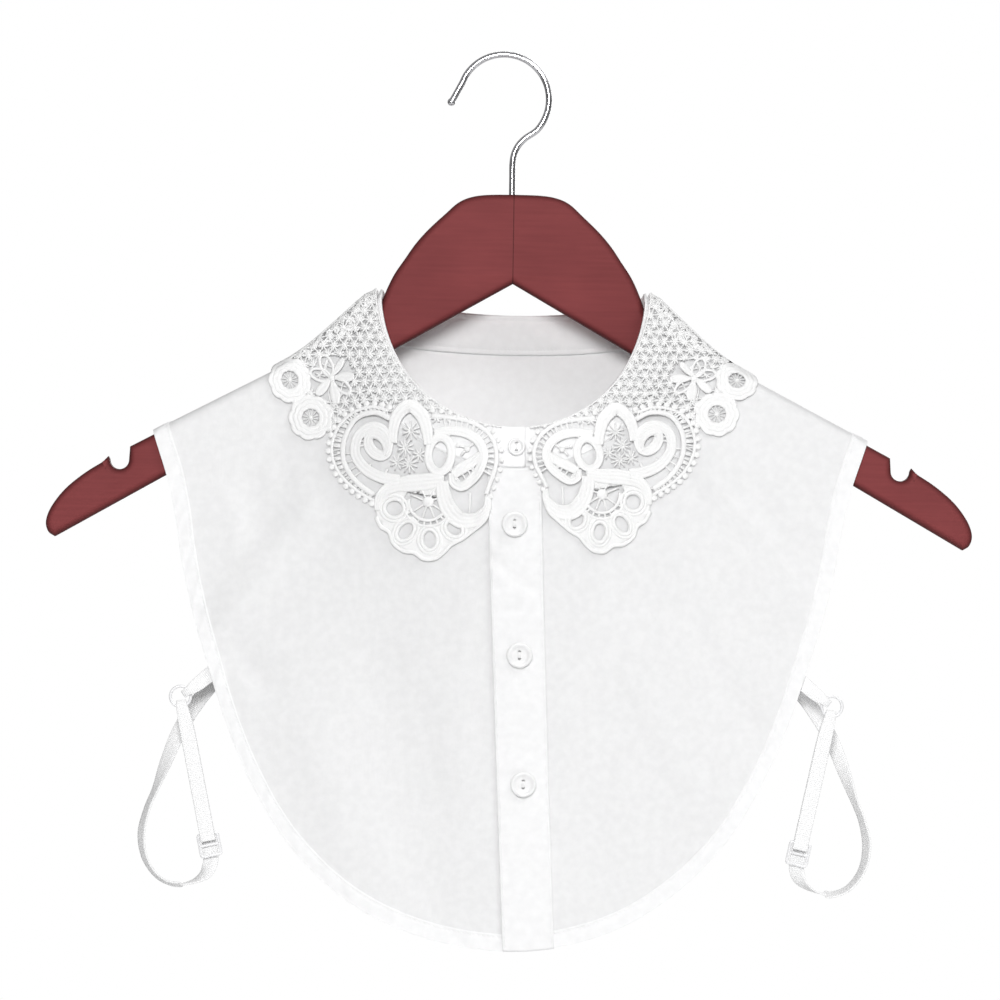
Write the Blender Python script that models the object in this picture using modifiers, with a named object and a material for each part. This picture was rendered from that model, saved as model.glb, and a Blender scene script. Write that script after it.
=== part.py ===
# Lace-trimmed detachable shirt collar, buttoned and hung on a flat wooden hanger.
# Metres, +Z up, front toward -Y. The origin is the inside top of the hanger's hook,
# where a rail touches it. Tables and named sizes are in millimetres, and MM turns
# them into metres when a mesh is made.

import math

import bmesh
import bpy
import numpy as np
from mathutils import Matrix, Vector

MM = 0.001
SEAM = 0.3                  # open seam between two pieces
EDGE = 0.15                 # half of a seam that lies on the shoulder ridge

# Where the garment and the hanger hang from the hook
CENTRE_X = 5.6              # hanger's middle, beside the bent hook's seat
HOOK_RADIUS = 21.7
HOOK_WIRE = 1.5             # wire radius
HOOK_MID_Z = -(HOOK_RADIUS - HOOK_WIRE)
HOOK_TIP_RADIUS = 1.9
STEM_X = 4.6
STEM_FOOT_Z = -75.0

HANGER_THICK = 12.0
HANGER_ROUND = 3.4
HANGER_TOP_Z = -66.2
HANGER_APEX_Z = -109.1

# Cloth walls
CLOTH = 1.2
STAND = 1.6
LACE = 1.2
BAND = 8.0                  # stitched hem band
BAND_RISE = 0.5
BAND_STEP = 0.4             # the rise takes this much cloth
PLACKET_HALF = 12.6
PLACKET_TOP_Z = -197.2
PLACKET_FOOT_Z = -428.6
PLACKET_SLANT = 10.2        # how far its foot lies beside its top
PLACKET_LIFT = BAND_RISE + SEAM + CLOTH / 2     # its middle layer above the cloth
CENTRE_SHIFT = 2.6          # the buttoned front sits this far to the viewer's right
CENTRE_WIDE = 75.0          # and the shift has faded out here

# A draped surface runs out from the neck: w mm outward along rays t, where t = 0 is
# the shoulder ridge and t = 90 degrees the middle. half, top: the neck's side point.
# run, fall: the ridge's step for each mm. drop: from the side point down to the
# middle point. spread: extra fall in the middle. depth: how far the neck stands out.
SURFACES = {
    ("cloth", "front"): dict(half=74.0, top=-131.5, run=0.887, fall=0.461, drop=65.4,
                             spread=0.539, depth=37.0, side=-1),
    ("cloth", "back"): dict(half=74.0, top=-131.5, run=0.887, fall=0.461, drop=10.4,
                            spread=0.539, depth=20.0, side=1),
    ("leaf", "front"): dict(half=66.0, top=-109.5, run=0.73, fall=0.68, drop=69.0,
                            spread=0.32, depth=35.5, side=-1),
    ("leaf", "back"): dict(half=66.0, top=-109.5, run=0.73, fall=0.68, drop=14.0,
                           spread=0.32, depth=17.0, side=1),
}
RIDGE_WIDE = 8.0            # the cloth rounds over the hanger in a squarish quarter oval
RIDGE_HIGH = 6.0
RIDGE_SQUARE = 2.5
RIDGE_GROWTH = 0.01
ARM_DEEP = 26.0             # folds start below the hanger's arms
LEAF_LANDS = 49.0           # from here outward the leaf's ridge follows the shoulder
LEAF_BEND = 0.30
LEAF_SOFT = 6.0
LEAF_CLEAR = 1.6            # the leaf's outer face above the cloth, beside the fold
NECK_POWER = 1.2            # how squarely the neck ring rounds to the front

# Bib outline as an angle about its middle and a distance from it
HEM_MID_Z = -282.0
HEM = (
    # angle, radius
    (-90, 147.2), (-66, 146.0), (-43, 142.0), (-29, 139.6), (-16, 140.2), (-4, 144.6),
    (4, 151.0), (14, 162.0), (20, 170.6), (25, 181.5), (30.1, 198.6), (36, 222.0),
)

# Largest soft folds: from (x0, z0) to (x1, z1), width and height, minus for a trough
CREASES = {
    "front": (
        # x0, z0, x1, z1, width, height
        (-140, -276, -100, -224, 9, 2.4),
        (-141, -279, -118, -300, 8, -1.6),
        (-60, -300, -36, -400, 17, -2.4),
        (-92, -330, -70, -392, 13, 1.6),
        (-120, -225, -128, -190, 10, -1.4),
        (96, -196, 142, -240, 9, -2.6),
        (80, -204, 128, -258, 10, 2.0),
        (44, -250, 39, -380, 14, -2.2),
        (84, -266, 116, -322, 11, -2.2),
        (66, -286, 92, -350, 12, 1.8),
    ),
    "back": (
        (-70, -220, -50, -380, 18, -2.2),
        (60, -240, 80, -360, 16, -2.0),
        (0, -200, 6, -400, 20, 1.8),
        (-120, -230, -100, -300, 12, 1.6),
    ),
}


def placket_mid(z):
    """The placket slants a little toward the viewer's right as it goes down."""
    share = np.clip((PLACKET_TOP_Z - z) / (PLACKET_TOP_Z - PLACKET_FOOT_Z), 0.0, 1.1)
    return PLACKET_SLANT * share ** 1.15


def smooth(value):
    value = np.clip(value, 0.0, 1.0)
    return value * value * (3.0 - 2.0 * value)


def ridge_round(below):
    """Depth of the cloth over the hanger, for a distance below the ridge."""
    left = 1.0 - np.clip(below / RIDGE_HIGH, 0.0, 1.0)
    over = (1.0 - left ** RIDGE_SQUARE) ** (1.0 / RIDGE_SQUARE)
    return RIDGE_WIDE * over + RIDGE_GROWTH * np.maximum(below - RIDGE_HIGH, 0.0)


def ridge_lift(kind, w):
    """How far the leaf's ridge bends up to follow the shoulder."""
    if kind == "cloth":
        return 0.0 * w
    return LEAF_BEND * LEAF_SOFT * np.log1p(np.exp((w - LEAF_LANDS) / LEAF_SOFT))


def flat_place(kind, face, t, w):
    """Front-view place (x, z) of ray angle t and distance w, x counted outward."""
    s = SURFACES[kind, face]
    x = (s["half"] + s["run"] * w) * np.cos(t)
    z = s["top"] - s["fall"] * w - (s["drop"] + s["spread"] * w) * np.sin(t)
    return x, z + ridge_lift(kind, w) * np.abs(np.cos(t))


def ray_of(kind, face, x, z):
    """Ray angle t and distance w of a front-view place, found by halving."""
    s = SURFACES[kind, face]
    x = np.abs(np.asarray(x, float))
    z = np.asarray(z, float)
    low = np.full(x.shape, -17.0)
    high = np.full(x.shape, 400.0)
    for _ in range(50):
        w = 0.5 * (low + high)
        across = x / (s["half"] + s["run"] * w)
        level = s["top"] - s["fall"] * w + ridge_lift(kind, w) * np.clip(across, 0.0, 1.0)
        down = np.maximum(level - z, 0.0) / (s["drop"] + s["spread"] * w)
        outside = across ** 2 + down ** 2 > 1.0
        low = np.where(outside, w, low)
        high = np.where(outside, high, w)
    return np.arctan2(down, across), w


def neck_bulge(face, t, w):
    """How far the cloth stands out because the neck ring holds it forward."""
    fade = 0.2 + 0.8 * np.exp(-(np.maximum(w, 0.0) / 105.0) ** 1.3)
    narrow = 1.2 + 2.0 * smooth(w / 80.0)
    return SURFACES["cloth", face]["depth"] * np.maximum(np.sin(t), 0.0) ** narrow * fade


def creases(face, x, z):
    """Soft ridges and troughs laid along short lines."""
    total = np.zeros(np.shape(x))
    for x0, z0, x1, z1, width, height in CREASES[face]:
        along = np.array([x1 - x0, z1 - z0], float)
        length = np.hypot(*along)
        along /= length
        far = (x - x0) * along[0] + (z - z0) * along[1]
        off = -(x - x0) * along[1] + (z - z0) * along[0]
        ends = np.clip(far / length, 0.0, 1.0)
        beyond = far - ends * length
        total = total + height * np.exp(-(off / width) ** 2 - (beyond / (1.5 * width)) ** 2)
    return total


def folds(face, x, z, below, w):
    """Creases, fading out over the hanger's arms and beside the neck."""
    clear_of_arm = smooth((below - ARM_DEEP) / 20.0)
    clear_of_neck = smooth((w - 12.0) / 30.0)
    return clear_of_arm * clear_of_neck * creases(face, x, z)


def depth_of(kind, face, t, w, x, z):
    """Depth in front of, or behind, the hanger's middle plane."""
    s = SURFACES[kind, face]
    down = np.maximum(np.sin(t), 0.0)
    aside = s["fall"] / s["run"] * (s["half"] + s["run"] * w) * (1.0 - np.abs(np.cos(t)))
    below = s["run"] * ((s["drop"] + s["spread"] * w) * down + aside)
    if kind == "cloth":
        return ridge_round(below) + neck_bulge(face, t, w) + folds(face, x, z, below, w)
    cloth_t, cloth_w = ray_of("cloth", face, x, z)
    lie = smooth(w / 35.0)
    cloth_swell = neck_bulge(face, cloth_t, cloth_w) + folds(face, x, z, below, cloth_w)
    swell = (1.0 - lie) * s["depth"] * down ** NECK_POWER + lie * cloth_swell
    clear = LEAF_CLEAR + 1.4 * smooth(w / 14.0) - 0.9 * smooth((w - 20.0) / 30.0)
    if face == "front":
        over_placket = smooth((PLACKET_HALF + 8.0 - np.abs(x - placket_mid(z))) / 6.0)
        clear = clear + PLACKET_LIFT * over_placket * smooth((w - 6.0) / 10.0)
    return ridge_round(below) + swell + clear * np.clip(below / 3.0, 0.0, 1.0)


def surface(kind, face, hand, t, w):
    """Points on a draped surface; hand is 1 on the viewer's right, -1 on the left."""
    t, w = np.broadcast_arrays(np.asarray(t, float), np.asarray(w, float))
    x, z = flat_place(kind, face, t, w)
    x = hand * x
    y = SURFACES[kind, face]["side"] * depth_of(kind, face, t, w, x, z)
    return np.stack([lean(x), y, z], axis=-1)


def lean(x):
    """The buttoned front sits a little to the viewer's right."""
    return x + CENTRE_SHIFT * np.clip(1.0 - np.abs(x) / CENTRE_WIDE, 0.0, 1.0)


def outward(points, face):
    """Unit normals of a grid of points, turned away from the hanger."""
    rows = np.gradient(points, axis=0)
    cols = np.gradient(points, axis=1)
    normal = np.cross(rows, cols)
    length = np.linalg.norm(normal, axis=-1, keepdims=True)
    normal = normal / np.maximum(length, 1e-9)
    middle = normal[normal.shape[0] // 2, normal.shape[1] // 2]
    side = SURFACES["cloth", face]["side"]
    return normal if middle[1] * side > 0 else -normal


def keep_side(points, face, edge=EDGE):
    """Hold points on their own side of the shoulder ridge."""
    side = SURFACES["cloth", face]["side"]
    points = points.copy()
    points[..., 1] = side * np.maximum(side * points[..., 1], edge)
    return points


# Blender helpers

def clear_scene():
    for item in list(bpy.data.objects):
        bpy.data.objects.remove(item, do_unlink=True)


def make_collection(name):
    made = bpy.data.collections.new(name)
    bpy.context.scene.collection.children.link(made)
    return made


def material(name, colour, roughness, metallic=0.0):
    made = bpy.data.materials.new(name)
    made.use_nodes = True
    shader = made.node_tree.nodes["Principled BSDF"]
    shader.inputs["Base Color"].default_value = (*colour, 1.0)
    shader.inputs["Roughness"].default_value = roughness
    shader.inputs["Metallic"].default_value = metallic
    return made


def add_object(name, mesh, collection, paint, smooth_angle=40.0):
    """Link a mesh as a named object hung from the garment's root."""
    mesh.name = name
    item = bpy.data.objects.new(name, mesh)
    collection.objects.link(item)
    item.parent = ROOT
    mesh.materials.clear()
    mesh.materials.append(paint)
    mesh.shade_smooth()
    mesh.set_sharp_from_angle(angle=math.radians(smooth_angle))
    return item


def face_out(bm):
    """Turn the faces of a closed mesh outward."""
    bmesh.ops.recalc_face_normals(bm, faces=bm.faces)
    if bm.calc_volume(signed=True) < 0:
        bmesh.ops.reverse_faces(bm, faces=bm.faces)


def wall_mesh(name, outer, inner):
    """Closed wall between two grids of points, given in millimetres."""
    rows, cols = outer.shape[:2]
    bm = bmesh.new()
    skins = [[[bm.verts.new(grid[i, j] * MM) for j in range(cols)] for i in range(rows)]
             for grid in (outer, inner)]
    top, under = skins
    for i in range(rows - 1):
        for j in range(cols - 1):
            bm.faces.new((top[i][j], top[i + 1][j], top[i + 1][j + 1], top[i][j + 1]))
            bm.faces.new((under[i][j], under[i][j + 1], under[i + 1][j + 1], under[i + 1][j]))
    rim = [(i, 0) for i in range(rows)]
    rim += [(rows - 1, j) for j in range(1, cols)]
    rim += [(i, cols - 1) for i in range(rows - 2, -1, -1)]
    rim += [(0, j) for j in range(cols - 2, 0, -1)]
    for (i, j), (k, m) in zip(rim, rim[1:] + rim[:1]):
        bm.faces.new((top[i][j], under[i][j], under[k][m], top[k][m]))
    face_out(bm)
    mesh = bpy.data.meshes.new(name)
    bm.to_mesh(mesh)
    bm.free()
    return mesh


def evaluated_mesh(item):
    """The mesh of an object with its modifiers applied, then the object is removed."""
    graph = bpy.context.evaluated_depsgraph_get()
    mesh = bpy.data.meshes.new_from_object(item.evaluated_get(graph))
    mesh.transform(item.matrix_world)
    bpy.data.objects.remove(item, do_unlink=True)
    return mesh


def weld(mesh, distance=1e-5):
    bm = bmesh.new()
    bm.from_mesh(mesh)
    bmesh.ops.remove_doubles(bm, verts=bm.verts, dist=distance)
    bmesh.ops.recalc_face_normals(bm, faces=bm.faces)
    bm.to_mesh(mesh)
    bm.free()


def wire_curve(name, points, radius, closed=False, resolution=2):
    """Round wire through points in millimetres."""
    curve = bpy.data.curves.new(name, "CURVE")
    curve.dimensions = "3D"
    curve.bevel_depth = radius * MM
    curve.bevel_resolution = resolution
    curve.use_fill_caps = not closed
    spline = curve.splines.new("POLY")
    spline.points.add(len(points) - 1)
    for place, point in zip(spline.points, points):
        place.co = (*[float(value) * MM for value in point], 1.0)
    spline.use_cyclic_u = closed
    return curve


def curve_path(points, steps):
    """Catmull-Rom points through a hand-chosen route."""
    points = np.asarray(points, float)
    ends = np.vstack([2 * points[0] - points[1], points, 2 * points[-1] - points[-2]])
    path = []
    for a, b, c, d in zip(ends, ends[1:], ends[2:], ends[3:]):
        for k in range(steps):
            u = k / steps
            path.append(0.5 * (2 * b + (c - a) * u + (2 * a - 5 * b + 4 * c - d) * u ** 2
                               + (3 * b - a - 3 * c + d) * u ** 3))
    path.append(points[-1])
    return np.array(path)


# Hanger

HANGER_HALF = (
    # x from the middle, z below the hanger's top
    (0.0, 0.0), (13.0, -0.3), (21.0, -1.6), (27.0, -4.4), (33.0, -9.8), (41.0, -17.4),
    (47.0, -24.3), (52.0, -31.6), (57.5, -40.0), (62.0, -50.0), (65.0, -58.8), (69.0, -66.4),
    (76.0, -70.4),
)
ARM = dict(x=74.0, z=-133.4, fall=0.52)     # the straight upper edge of an arm
ARM_TOP_X = (84.0, 100.0, 130.0, 160.0)
NOTCH = dict(x=188.0, lips=4.6, depth=8.6)
ARM_END = (
    # x from the middle, z below the hanger's top
    (196.0, -131.6), (205.0, -137.4), (214.0, -145.0), (220.5, -153.6), (223.0, -160.6),
    (221.8, -165.6), (218.6, -167.9),
)
BORE_DEPTH = 24.0


def arm_top(x):
    return ARM["z"] - ARM["fall"] * (x - ARM["x"])


def hanger_half_outline():
    """Upper edge from the middle outward, round the end and back to the apex."""
    edge = [(x, HANGER_TOP_Z + z) for x, z in HANGER_HALF]
    edge += [(x, arm_top(x)) for x in ARM_TOP_X]
    mid, lips = NOTCH["x"], NOTCH["lips"]
    edge.append((mid - lips - 0.4, arm_top(mid - lips)))
    floor = arm_top(mid) - NOTCH["depth"] + lips
    for degrees in range(180, 361, 30):
        turn = math.radians(degrees)
        edge.append((mid + lips * math.cos(turn), floor + lips * math.sin(turn)))
    edge.append((mid + lips + 0.8, arm_top(mid + lips)))
    edge += [(x, HANGER_TOP_Z + z) for x, z in ARM_END]
    return edge


def build_hanger(collection, paint):
    half = hanger_half_outline()
    outline = half + [(0.0, HANGER_APEX_Z)] + [(-x, z) for x, z in reversed(half[1:])]
    curve = bpy.data.curves.new("hanger_outline", "CURVE")
    curve.dimensions = "2D"
    curve.fill_mode = "BOTH"
    curve.extrude = (0.5 * HANGER_THICK - HANGER_ROUND) * MM
    curve.bevel_depth = HANGER_ROUND * MM
    curve.bevel_resolution = 1
    curve.offset = -HANGER_ROUND * MM
    spline = curve.splines.new("POLY")
    spline.points.add(len(outline) - 1)
    for place, (x, z) in zip(spline.points, outline):
        place.co = (x * MM, z * MM, 0.0, 1.0)
    spline.use_cyclic_u = True
    item = bpy.data.objects.new("hanger_outline", curve)
    collection.objects.link(item)
    item.rotation_euler = (math.radians(90.0), 0.0, 0.0)
    bpy.context.view_layer.update()
    mesh = evaluated_mesh(item)
    weld(mesh)
    board = add_object("hanger_board", mesh, collection, paint)
    bore = bpy.data.meshes.new("stem_bore")
    bm = bmesh.new()
    wide = (HOOK_WIRE + SEAM) * MM
    bmesh.ops.create_cone(bm, cap_ends=True, segments=16, radius1=wide, radius2=wide,
                          depth=BORE_DEPTH * MM)
    bm.to_mesh(bore)
    bm.free()
    cutter = bpy.data.objects.new("stem_bore", bore)
    CUTTERS.objects.link(cutter)
    cutter.parent = ROOT
    cutter.location = ((STEM_X - CENTRE_X) * MM, 0.0, (STEM_FOOT_Z + BORE_DEPTH / 2 - SEAM) * MM)
    cutter.hide_render = True
    cutter.display_type = "WIRE"
    cut = board.modifiers.new("stem bore", "BOOLEAN")
    cut.object = cutter


HOOK_TIP = ((-25.3, -21.8), (-23.4, -18.4))
HOOK_BEND = ((10.4, -38.9), (7.2, -42.4), (5.3, -46.4), (STEM_X, -51.0), (STEM_X, -58.0),
             (STEM_X, -66.0), (STEM_X, STEM_FOOT_Z))


def hook_arc():
    """Round part of the hook, from the tip's side over the top to the bend."""
    turns = [math.radians(degrees) for degrees in range(160, -56, -12)]
    return [(HOOK_RADIUS * math.cos(turn), HOOK_MID_Z + HOOK_RADIUS * math.sin(turn))
            for turn in turns]


def build_hook(collection, paint):
    """Bent wire with a small ball at its tip and its stem in the hanger's bore."""
    route = [(x - CENTRE_X, 0.0, z) for x, z in (*HOOK_TIP, *hook_arc(), *HOOK_BEND)]
    item = bpy.data.objects.new("hook_wire", wire_curve("hook_wire", route, HOOK_WIRE))
    collection.objects.link(item)
    bpy.context.view_layer.update()
    mesh = evaluated_mesh(item)
    weld(mesh)
    hook = add_object("hanger_hook", mesh, collection, paint)
    ball = bpy.data.meshes.new("hook_ball")
    bm = bmesh.new()
    bmesh.ops.create_uvsphere(bm, u_segments=12, v_segments=8, radius=HOOK_TIP_RADIUS * MM)
    bm.to_mesh(ball)
    bm.free()
    cutter = bpy.data.objects.new("hook_ball", ball)
    CUTTERS.objects.link(cutter)
    cutter.parent = ROOT
    cutter.location = ((HOOK_TIP[0][0] - CENTRE_X) * MM, 0.0, HOOK_TIP[0][1] * MM)
    cutter.rotation_euler = (0.2, 0.5, 0.1)
    cutter.hide_render = True
    cutter.display_type = "WIRE"
    joined = hook.modifiers.new("ball", "BOOLEAN")
    joined.operation = "UNION"
    joined.object = cutter


# Bib panels

HEM_NEAREST = 60.0          # every ray meets the hem between these distances
HEM_FARTHEST = 320.0
NECK_START = 0.4            # the panels start this far below the neck seam
RIDGE_START = 0.0005        # angle of the first ray, just off the ridge
# Shares of the ray fan that lie close to the ridge
RIDGE_STEPS = (0.0, 0.0014, 0.005, 0.013, 0.026, 0.05, 0.1)
FRONTS = (
    # name, hand, the centre edge's x from the placket's middle
    ("front_viewer_left", -1, -PLACKET_HALF + 3.0),
    ("front_viewer_right", 1, -PLACKET_HALF + 3.5),
)
BACK_INSET = 1.5            # the back's hem lies a little inside the front's
FRONT_RAYS, FRONT_RINGS = 15, 13
BACK_RAYS, BACK_RINGS = 12, 11
PLACKET_COLUMNS, PLACKET_ROWS = 7, 22


def hem_radius(angle):
    """Distance of the bib's outline from its middle: a smooth cubic through the table."""
    angles, radii = np.array(HEM, float).T
    slopes = np.gradient(radii, angles)
    k = np.clip(np.searchsorted(angles, angle) - 1, 0, len(angles) - 2)
    step = angles[k + 1] - angles[k]
    u = np.clip((angle - angles[k]) / step, 0.0, 1.0)
    share = 3 * u ** 2 - 2 * u ** 3
    leave = (u ** 3 - 2 * u ** 2 + u) * step * slopes[k]
    arrive = (u ** 3 - u ** 2) * step * slopes[k + 1]
    return (1.0 - share) * radii[k] + share * radii[k + 1] + leave + arrive


def hem_distance(face, t_of):
    """Distance w at which each ray of a panel meets the bib's outline."""
    low = np.full(np.shape(t_of(0.0)), HEM_NEAREST)
    high = np.full(low.shape, HEM_FARTHEST)
    for _ in range(45):
        w = 0.5 * (low + high)
        x, z = flat_place("cloth", face, t_of(w), w)
        angle = np.degrees(np.arctan2(z - HEM_MID_Z, np.abs(x)))
        inside = np.hypot(x, z - HEM_MID_Z) < hem_radius(angle)
        low = np.where(inside, w, low)
        high = np.where(inside, high, w)
    return w


def panel_grid(face, hand, edge_x, rays, rings, inset=0.0):
    """Outer points of a panel from the neck seam to the hem, ray by ray."""
    shares = np.array(RIDGE_STEPS + tuple(np.linspace(RIDGE_STEPS[-1], 1.0, rays)[1:]))
    s = SURFACES["cloth", face]

    def t_of(w):
        z = s["top"] - s["drop"] - w
        radius = s["half"] + s["run"] * w
        last = np.arccos(np.clip(hand * edge_x(z) / radius, -1.0, 1.0))
        return RIDGE_START + (last - RIDGE_START) * shares

    reach = hem_distance(face, t_of) - inset
    plain = reach - BAND - BAND_STEP - NECK_START
    rings_w = [NECK_START + plain * share for share in np.linspace(0.0, 1.0, rings)]
    columns = []
    for w in rings_w + [reach - BAND, reach]:
        t = np.array([t_of(value)[row] for row, value in enumerate(w)])
        columns.append(surface("cloth", face, hand, t, w))
    return np.stack(columns, axis=1)


def panel_wall(name, face, points):
    """Wall inward from the outer points, with the hem band raised outward."""
    normal = outward(points, face)
    outer = points.copy()
    outer[:, -2:] += BAND_RISE * normal[:, -2:]
    inner = points - CLOTH * normal
    return wall_mesh(name, keep_side(outer, face), keep_side(inner, face))


def build_front_panels(collection, paint):
    for name, hand, lap in FRONTS:
        grid = panel_grid("front", hand, lambda z, lap=lap: placket_mid(z) + lap,
                          FRONT_RAYS, FRONT_RINGS)
        add_object(name, panel_wall(name, "front", grid), collection, paint)


def build_back_panel(collection, paint):
    """One piece: both halves' rays, joined at the middle."""
    halves = [panel_grid("back", hand, lambda z: 0.0 * z, BACK_RAYS, BACK_RINGS, BACK_INSET)
              for hand in (-1, 1)]
    whole = np.concatenate([halves[0], halves[1][-2::-1]], axis=0)
    add_object("back_panel", panel_wall("back_panel", "back", whole), collection, paint)


def build_placket(collection, paint):
    """Strip on top of the left front's edge, from the stand to the hem."""
    across = np.linspace(-PLACKET_HALF, PLACKET_HALF, PLACKET_COLUMNS)
    top = PLACKET_TOP_Z - SEAM
    down = np.linspace(top - NECK_START, PLACKET_FOOT_Z, PLACKET_ROWS)
    z = np.repeat(down[None, :], len(across), axis=0)
    x = placket_mid(z) + across[:, None]
    hem = HEM_MID_Z - np.sqrt(HEM[0][1] ** 2 - x ** 2)
    z = top + (z - top) * (hem - top) / (PLACKET_FOOT_Z - top)
    t, w = ray_of("cloth", "front", x, z)
    t = np.where(x < 0, np.pi - t, t)
    points = surface("cloth", "front", 1, t, w)
    normal = outward(points, "front")
    outer = points + (PLACKET_LIFT + CLOTH / 2) * normal
    inner = points + (PLACKET_LIFT - CLOTH / 2) * normal
    add_object("placket", wall_mesh("placket", outer, inner), collection, paint)


# Collar stand

STAND_FOOT = 0.03           # the stand starts this share of its height above the seam
STAND_TOP_Z = -178.5        # its upper edge at the middle of the front
TUCK_IN = 2.0               # the stand's top edge lies inside and under the leaf's fold
LAP_TOP_X = -5.0            # where the stand's upper and under laps end
LAP_UNDER_X = -9.0
LAP_TUCK = 2.1
LAP_TUCK_FROM = 1.15        # ray angle at which the under lap starts to tuck in
LAP_TUCK_OVER = 0.25        # ray angle over which it does so
STAND_SIDE = 0.06           # ray angle at which the stand crosses the shoulder ridge


def stand_stations():
    """(face, hand, angle, tuck) round the neck from the top lap to the tucked end."""
    half = SURFACES["cloth", "front"]["half"]
    lap_top = math.acos(LAP_TOP_X / half)
    lap_under = math.acos(LAP_UNDER_X / half)
    side = STAND_SIDE
    stations = [("front", -1, t, 0.0) for t in np.linspace(lap_top, side, 13)]
    stations += [("back", -1, t, 0.0) for t in np.linspace(side, math.pi / 2, 9)]
    stations += [("back", 1, t, 0.0) for t in np.linspace(math.pi / 2, side, 9)[1:]]
    for t in np.linspace(side, lap_under, 15):
        tuck = LAP_TUCK * float(smooth((t - LAP_TUCK_FROM) / LAP_TUCK_OVER))
        stations.append(("front", 1, t, tuck))
    return stations


def stand_point(face, hand, t, share):
    """Outer point of the stand between the neck seam (0) and the fold (1)."""
    foot = surface("cloth", face, hand, t, 0.0)
    s = SURFACES["leaf", face]
    x, z = flat_place("leaf", face, t, 0.0)
    down = max(math.sin(t), 0.0)
    below = s["drop"] * down * s["run"] + s["fall"] * s["half"] * (1.0 - abs(math.cos(t)))
    depth = float(ridge_round(np.array(below))) + s["depth"] * down ** NECK_POWER
    out = abs(math.cos(t))
    x = lean(hand * (x - TUCK_IN * out))
    head = np.array([x, s["side"] * depth, z - TUCK_IN * out], float)
    return foot + (head - foot) * share


def stand_grid():
    stations = stand_stations()
    shares = np.linspace(STAND_FOOT, 1.0, 5)
    points = np.array([[stand_point(f, h, t, u) for u in shares] for f, h, t, _ in stations])
    inward = np.cross(np.gradient(points, axis=0), np.gradient(points, axis=1))
    inward /= np.linalg.norm(inward, axis=-1, keepdims=True)
    centre = points.mean(axis=(0, 1))
    if np.sum(inward * (centre - points)) < 0:
        inward = -inward
    tuck = np.array([row[3] for row in stations])[:, None, None]
    return points + inward * tuck, inward


def build_stand(collection, paint):
    points, inward = stand_grid()
    mesh = wall_mesh("collar_stand", points, points + inward * STAND)
    add_object("collar_stand", mesh, collection, paint)


# Lace leaf

LEAF_EDGE = (
    # x, z, bulge: each row's arc runs to the next row, bulging outward by that much
    (5.2, -179.0, 0.0), (5.2, -186.0, 0.6), (5.8, -198.6, 1.6), (12.5, -206.2, 2.2),
    (13.5, -217.0, 2.6), (20.0, -226.6, 2.4), (32.0, -235.4, 3.6), (48.5, -236.8, 3.0),
    (61.0, -227.6, 2.4), (66.3, -214.0, 6.8), (88.6, -180.8, 5.6), (106.6, -169.0, 5.4),
    (113.6, -155.0, 0.0),
)
LEAF_GAPS = (
    # x, z, width, height, turn
    (35.8, -191.0, 7.6, 11.4, 8), (52.0, -174.6, 6.4, 6.6, 0), (21.6, -211.6, 5.0, 7.4, 20),
    (28.6, -210.6, 5.0, 7.8, -14), (32.6, -202.2, 3.6, 8.8, -24), (29.0, -184.4, 5.6, 4.0, 20),
    (22.6, -190.4, 4.2, 4.6, 0), (46.4, -191.6, 4.6, 7.0, 8), (56.2, -189.4, 4.8, 5.0, 0),
    (57.0, -197.8, 5.4, 4.2, 0), (66.6, -194.6, 4.4, 5.2, -30), (71.8, -187.6, 3.4, 7.6, -12),
    (48.8, -207.6, 4.6, 3.8, -20), (38.4, -213.6, 3.8, 5.0, -30), (43.3, -216.4, 3.8, 5.0, 0),
    (48.3, -213.4, 3.6, 5.0, 30), (31.6, -222.8, 6.0, 4.4, -30), (43.3, -228.0, 5.0, 7.6, 0),
    (54.0, -223.2, 4.8, 7.8, 28), (59.4, -212.4, 7.0, 6.4, 60), (75.0, -173.6, 3.8, 4.4, 30),
    (79.6, -177.0, 4.2, 4.4, 50), (81.6, -183.2, 4.4, 4.0, 0), (84.0, -158.0, 5.2, 6.0, 20),
    (92.6, -160.2, 5.4, 6.0, -20), (87.6, -168.4, 7.2, 7.8, 0), (84.4, -148.6, 4.0, 4.0, 0),
    (97.4, -153.2, 4.4, 4.4, 0), (64.8, -183.6, 3.6, 6.2, -20),
)
BACK_EDGE = (
    # x, z, bulge
    (0.0, -185.6, 3.4), (17.0, -185.2, 3.4), (34.0, -184.0, 3.4), (51.0, -181.6, 3.4),
    (68.0, -177.6, 3.4), (84.0, -171.8, 3.2), (98.0, -163.6, 3.0), (110.0, -153.0, 0.0),
)
BACK_GAP_WIDE = 5.2
BACK_GAP_HIGH = 6.4
BACK_GAPS = (
    # x, z, turn
    (8.5, -181.4, 0), (25.5, -180.8, 4), (42.5, -179.0, 8), (59.4, -176.0, 12),
    (75.4, -171.0, 18), (90.2, -163.8, 26), (17.0, -172.6, 0), (34.0, -171.4, 6),
    (51.0, -169.0, 10), (67.4, -165.0, 16), (82.4, -159.0, 24),
)
LEAF_START = 0.0008         # ray angle of the leaf's edge, just off the ridge
LEAF_REACH = 62.0           # distance along the ridge from the fold to the leaf's edge
LEAF_LOWEST = -236.0
LEAF_HIGHEST = -114.0
ROW_START = 0.3             # the cut rows lie off the outlines' own points
RIDGE_CUTS = (0.2, 0.9, 2.4, 5.0, 9.0)     # rows of extra edges under the leaf's ridge
FRONT_LACE_STEP = 10.0      # distance between rows of edges in the front leaves
BACK_LACE_STEP = 12.0


def arc_points(start, end, bulge, count):
    """Points along a shallow arc from start to end, bulging to the left of travel."""
    start, end = np.array(start, float), np.array(end, float)
    along = end - start
    side = np.array([-along[1], along[0]]) / np.hypot(*along)
    return [start + along * u - side * bulge * 4 * u * (1 - u) for u in np.arange(count) / count]


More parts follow.
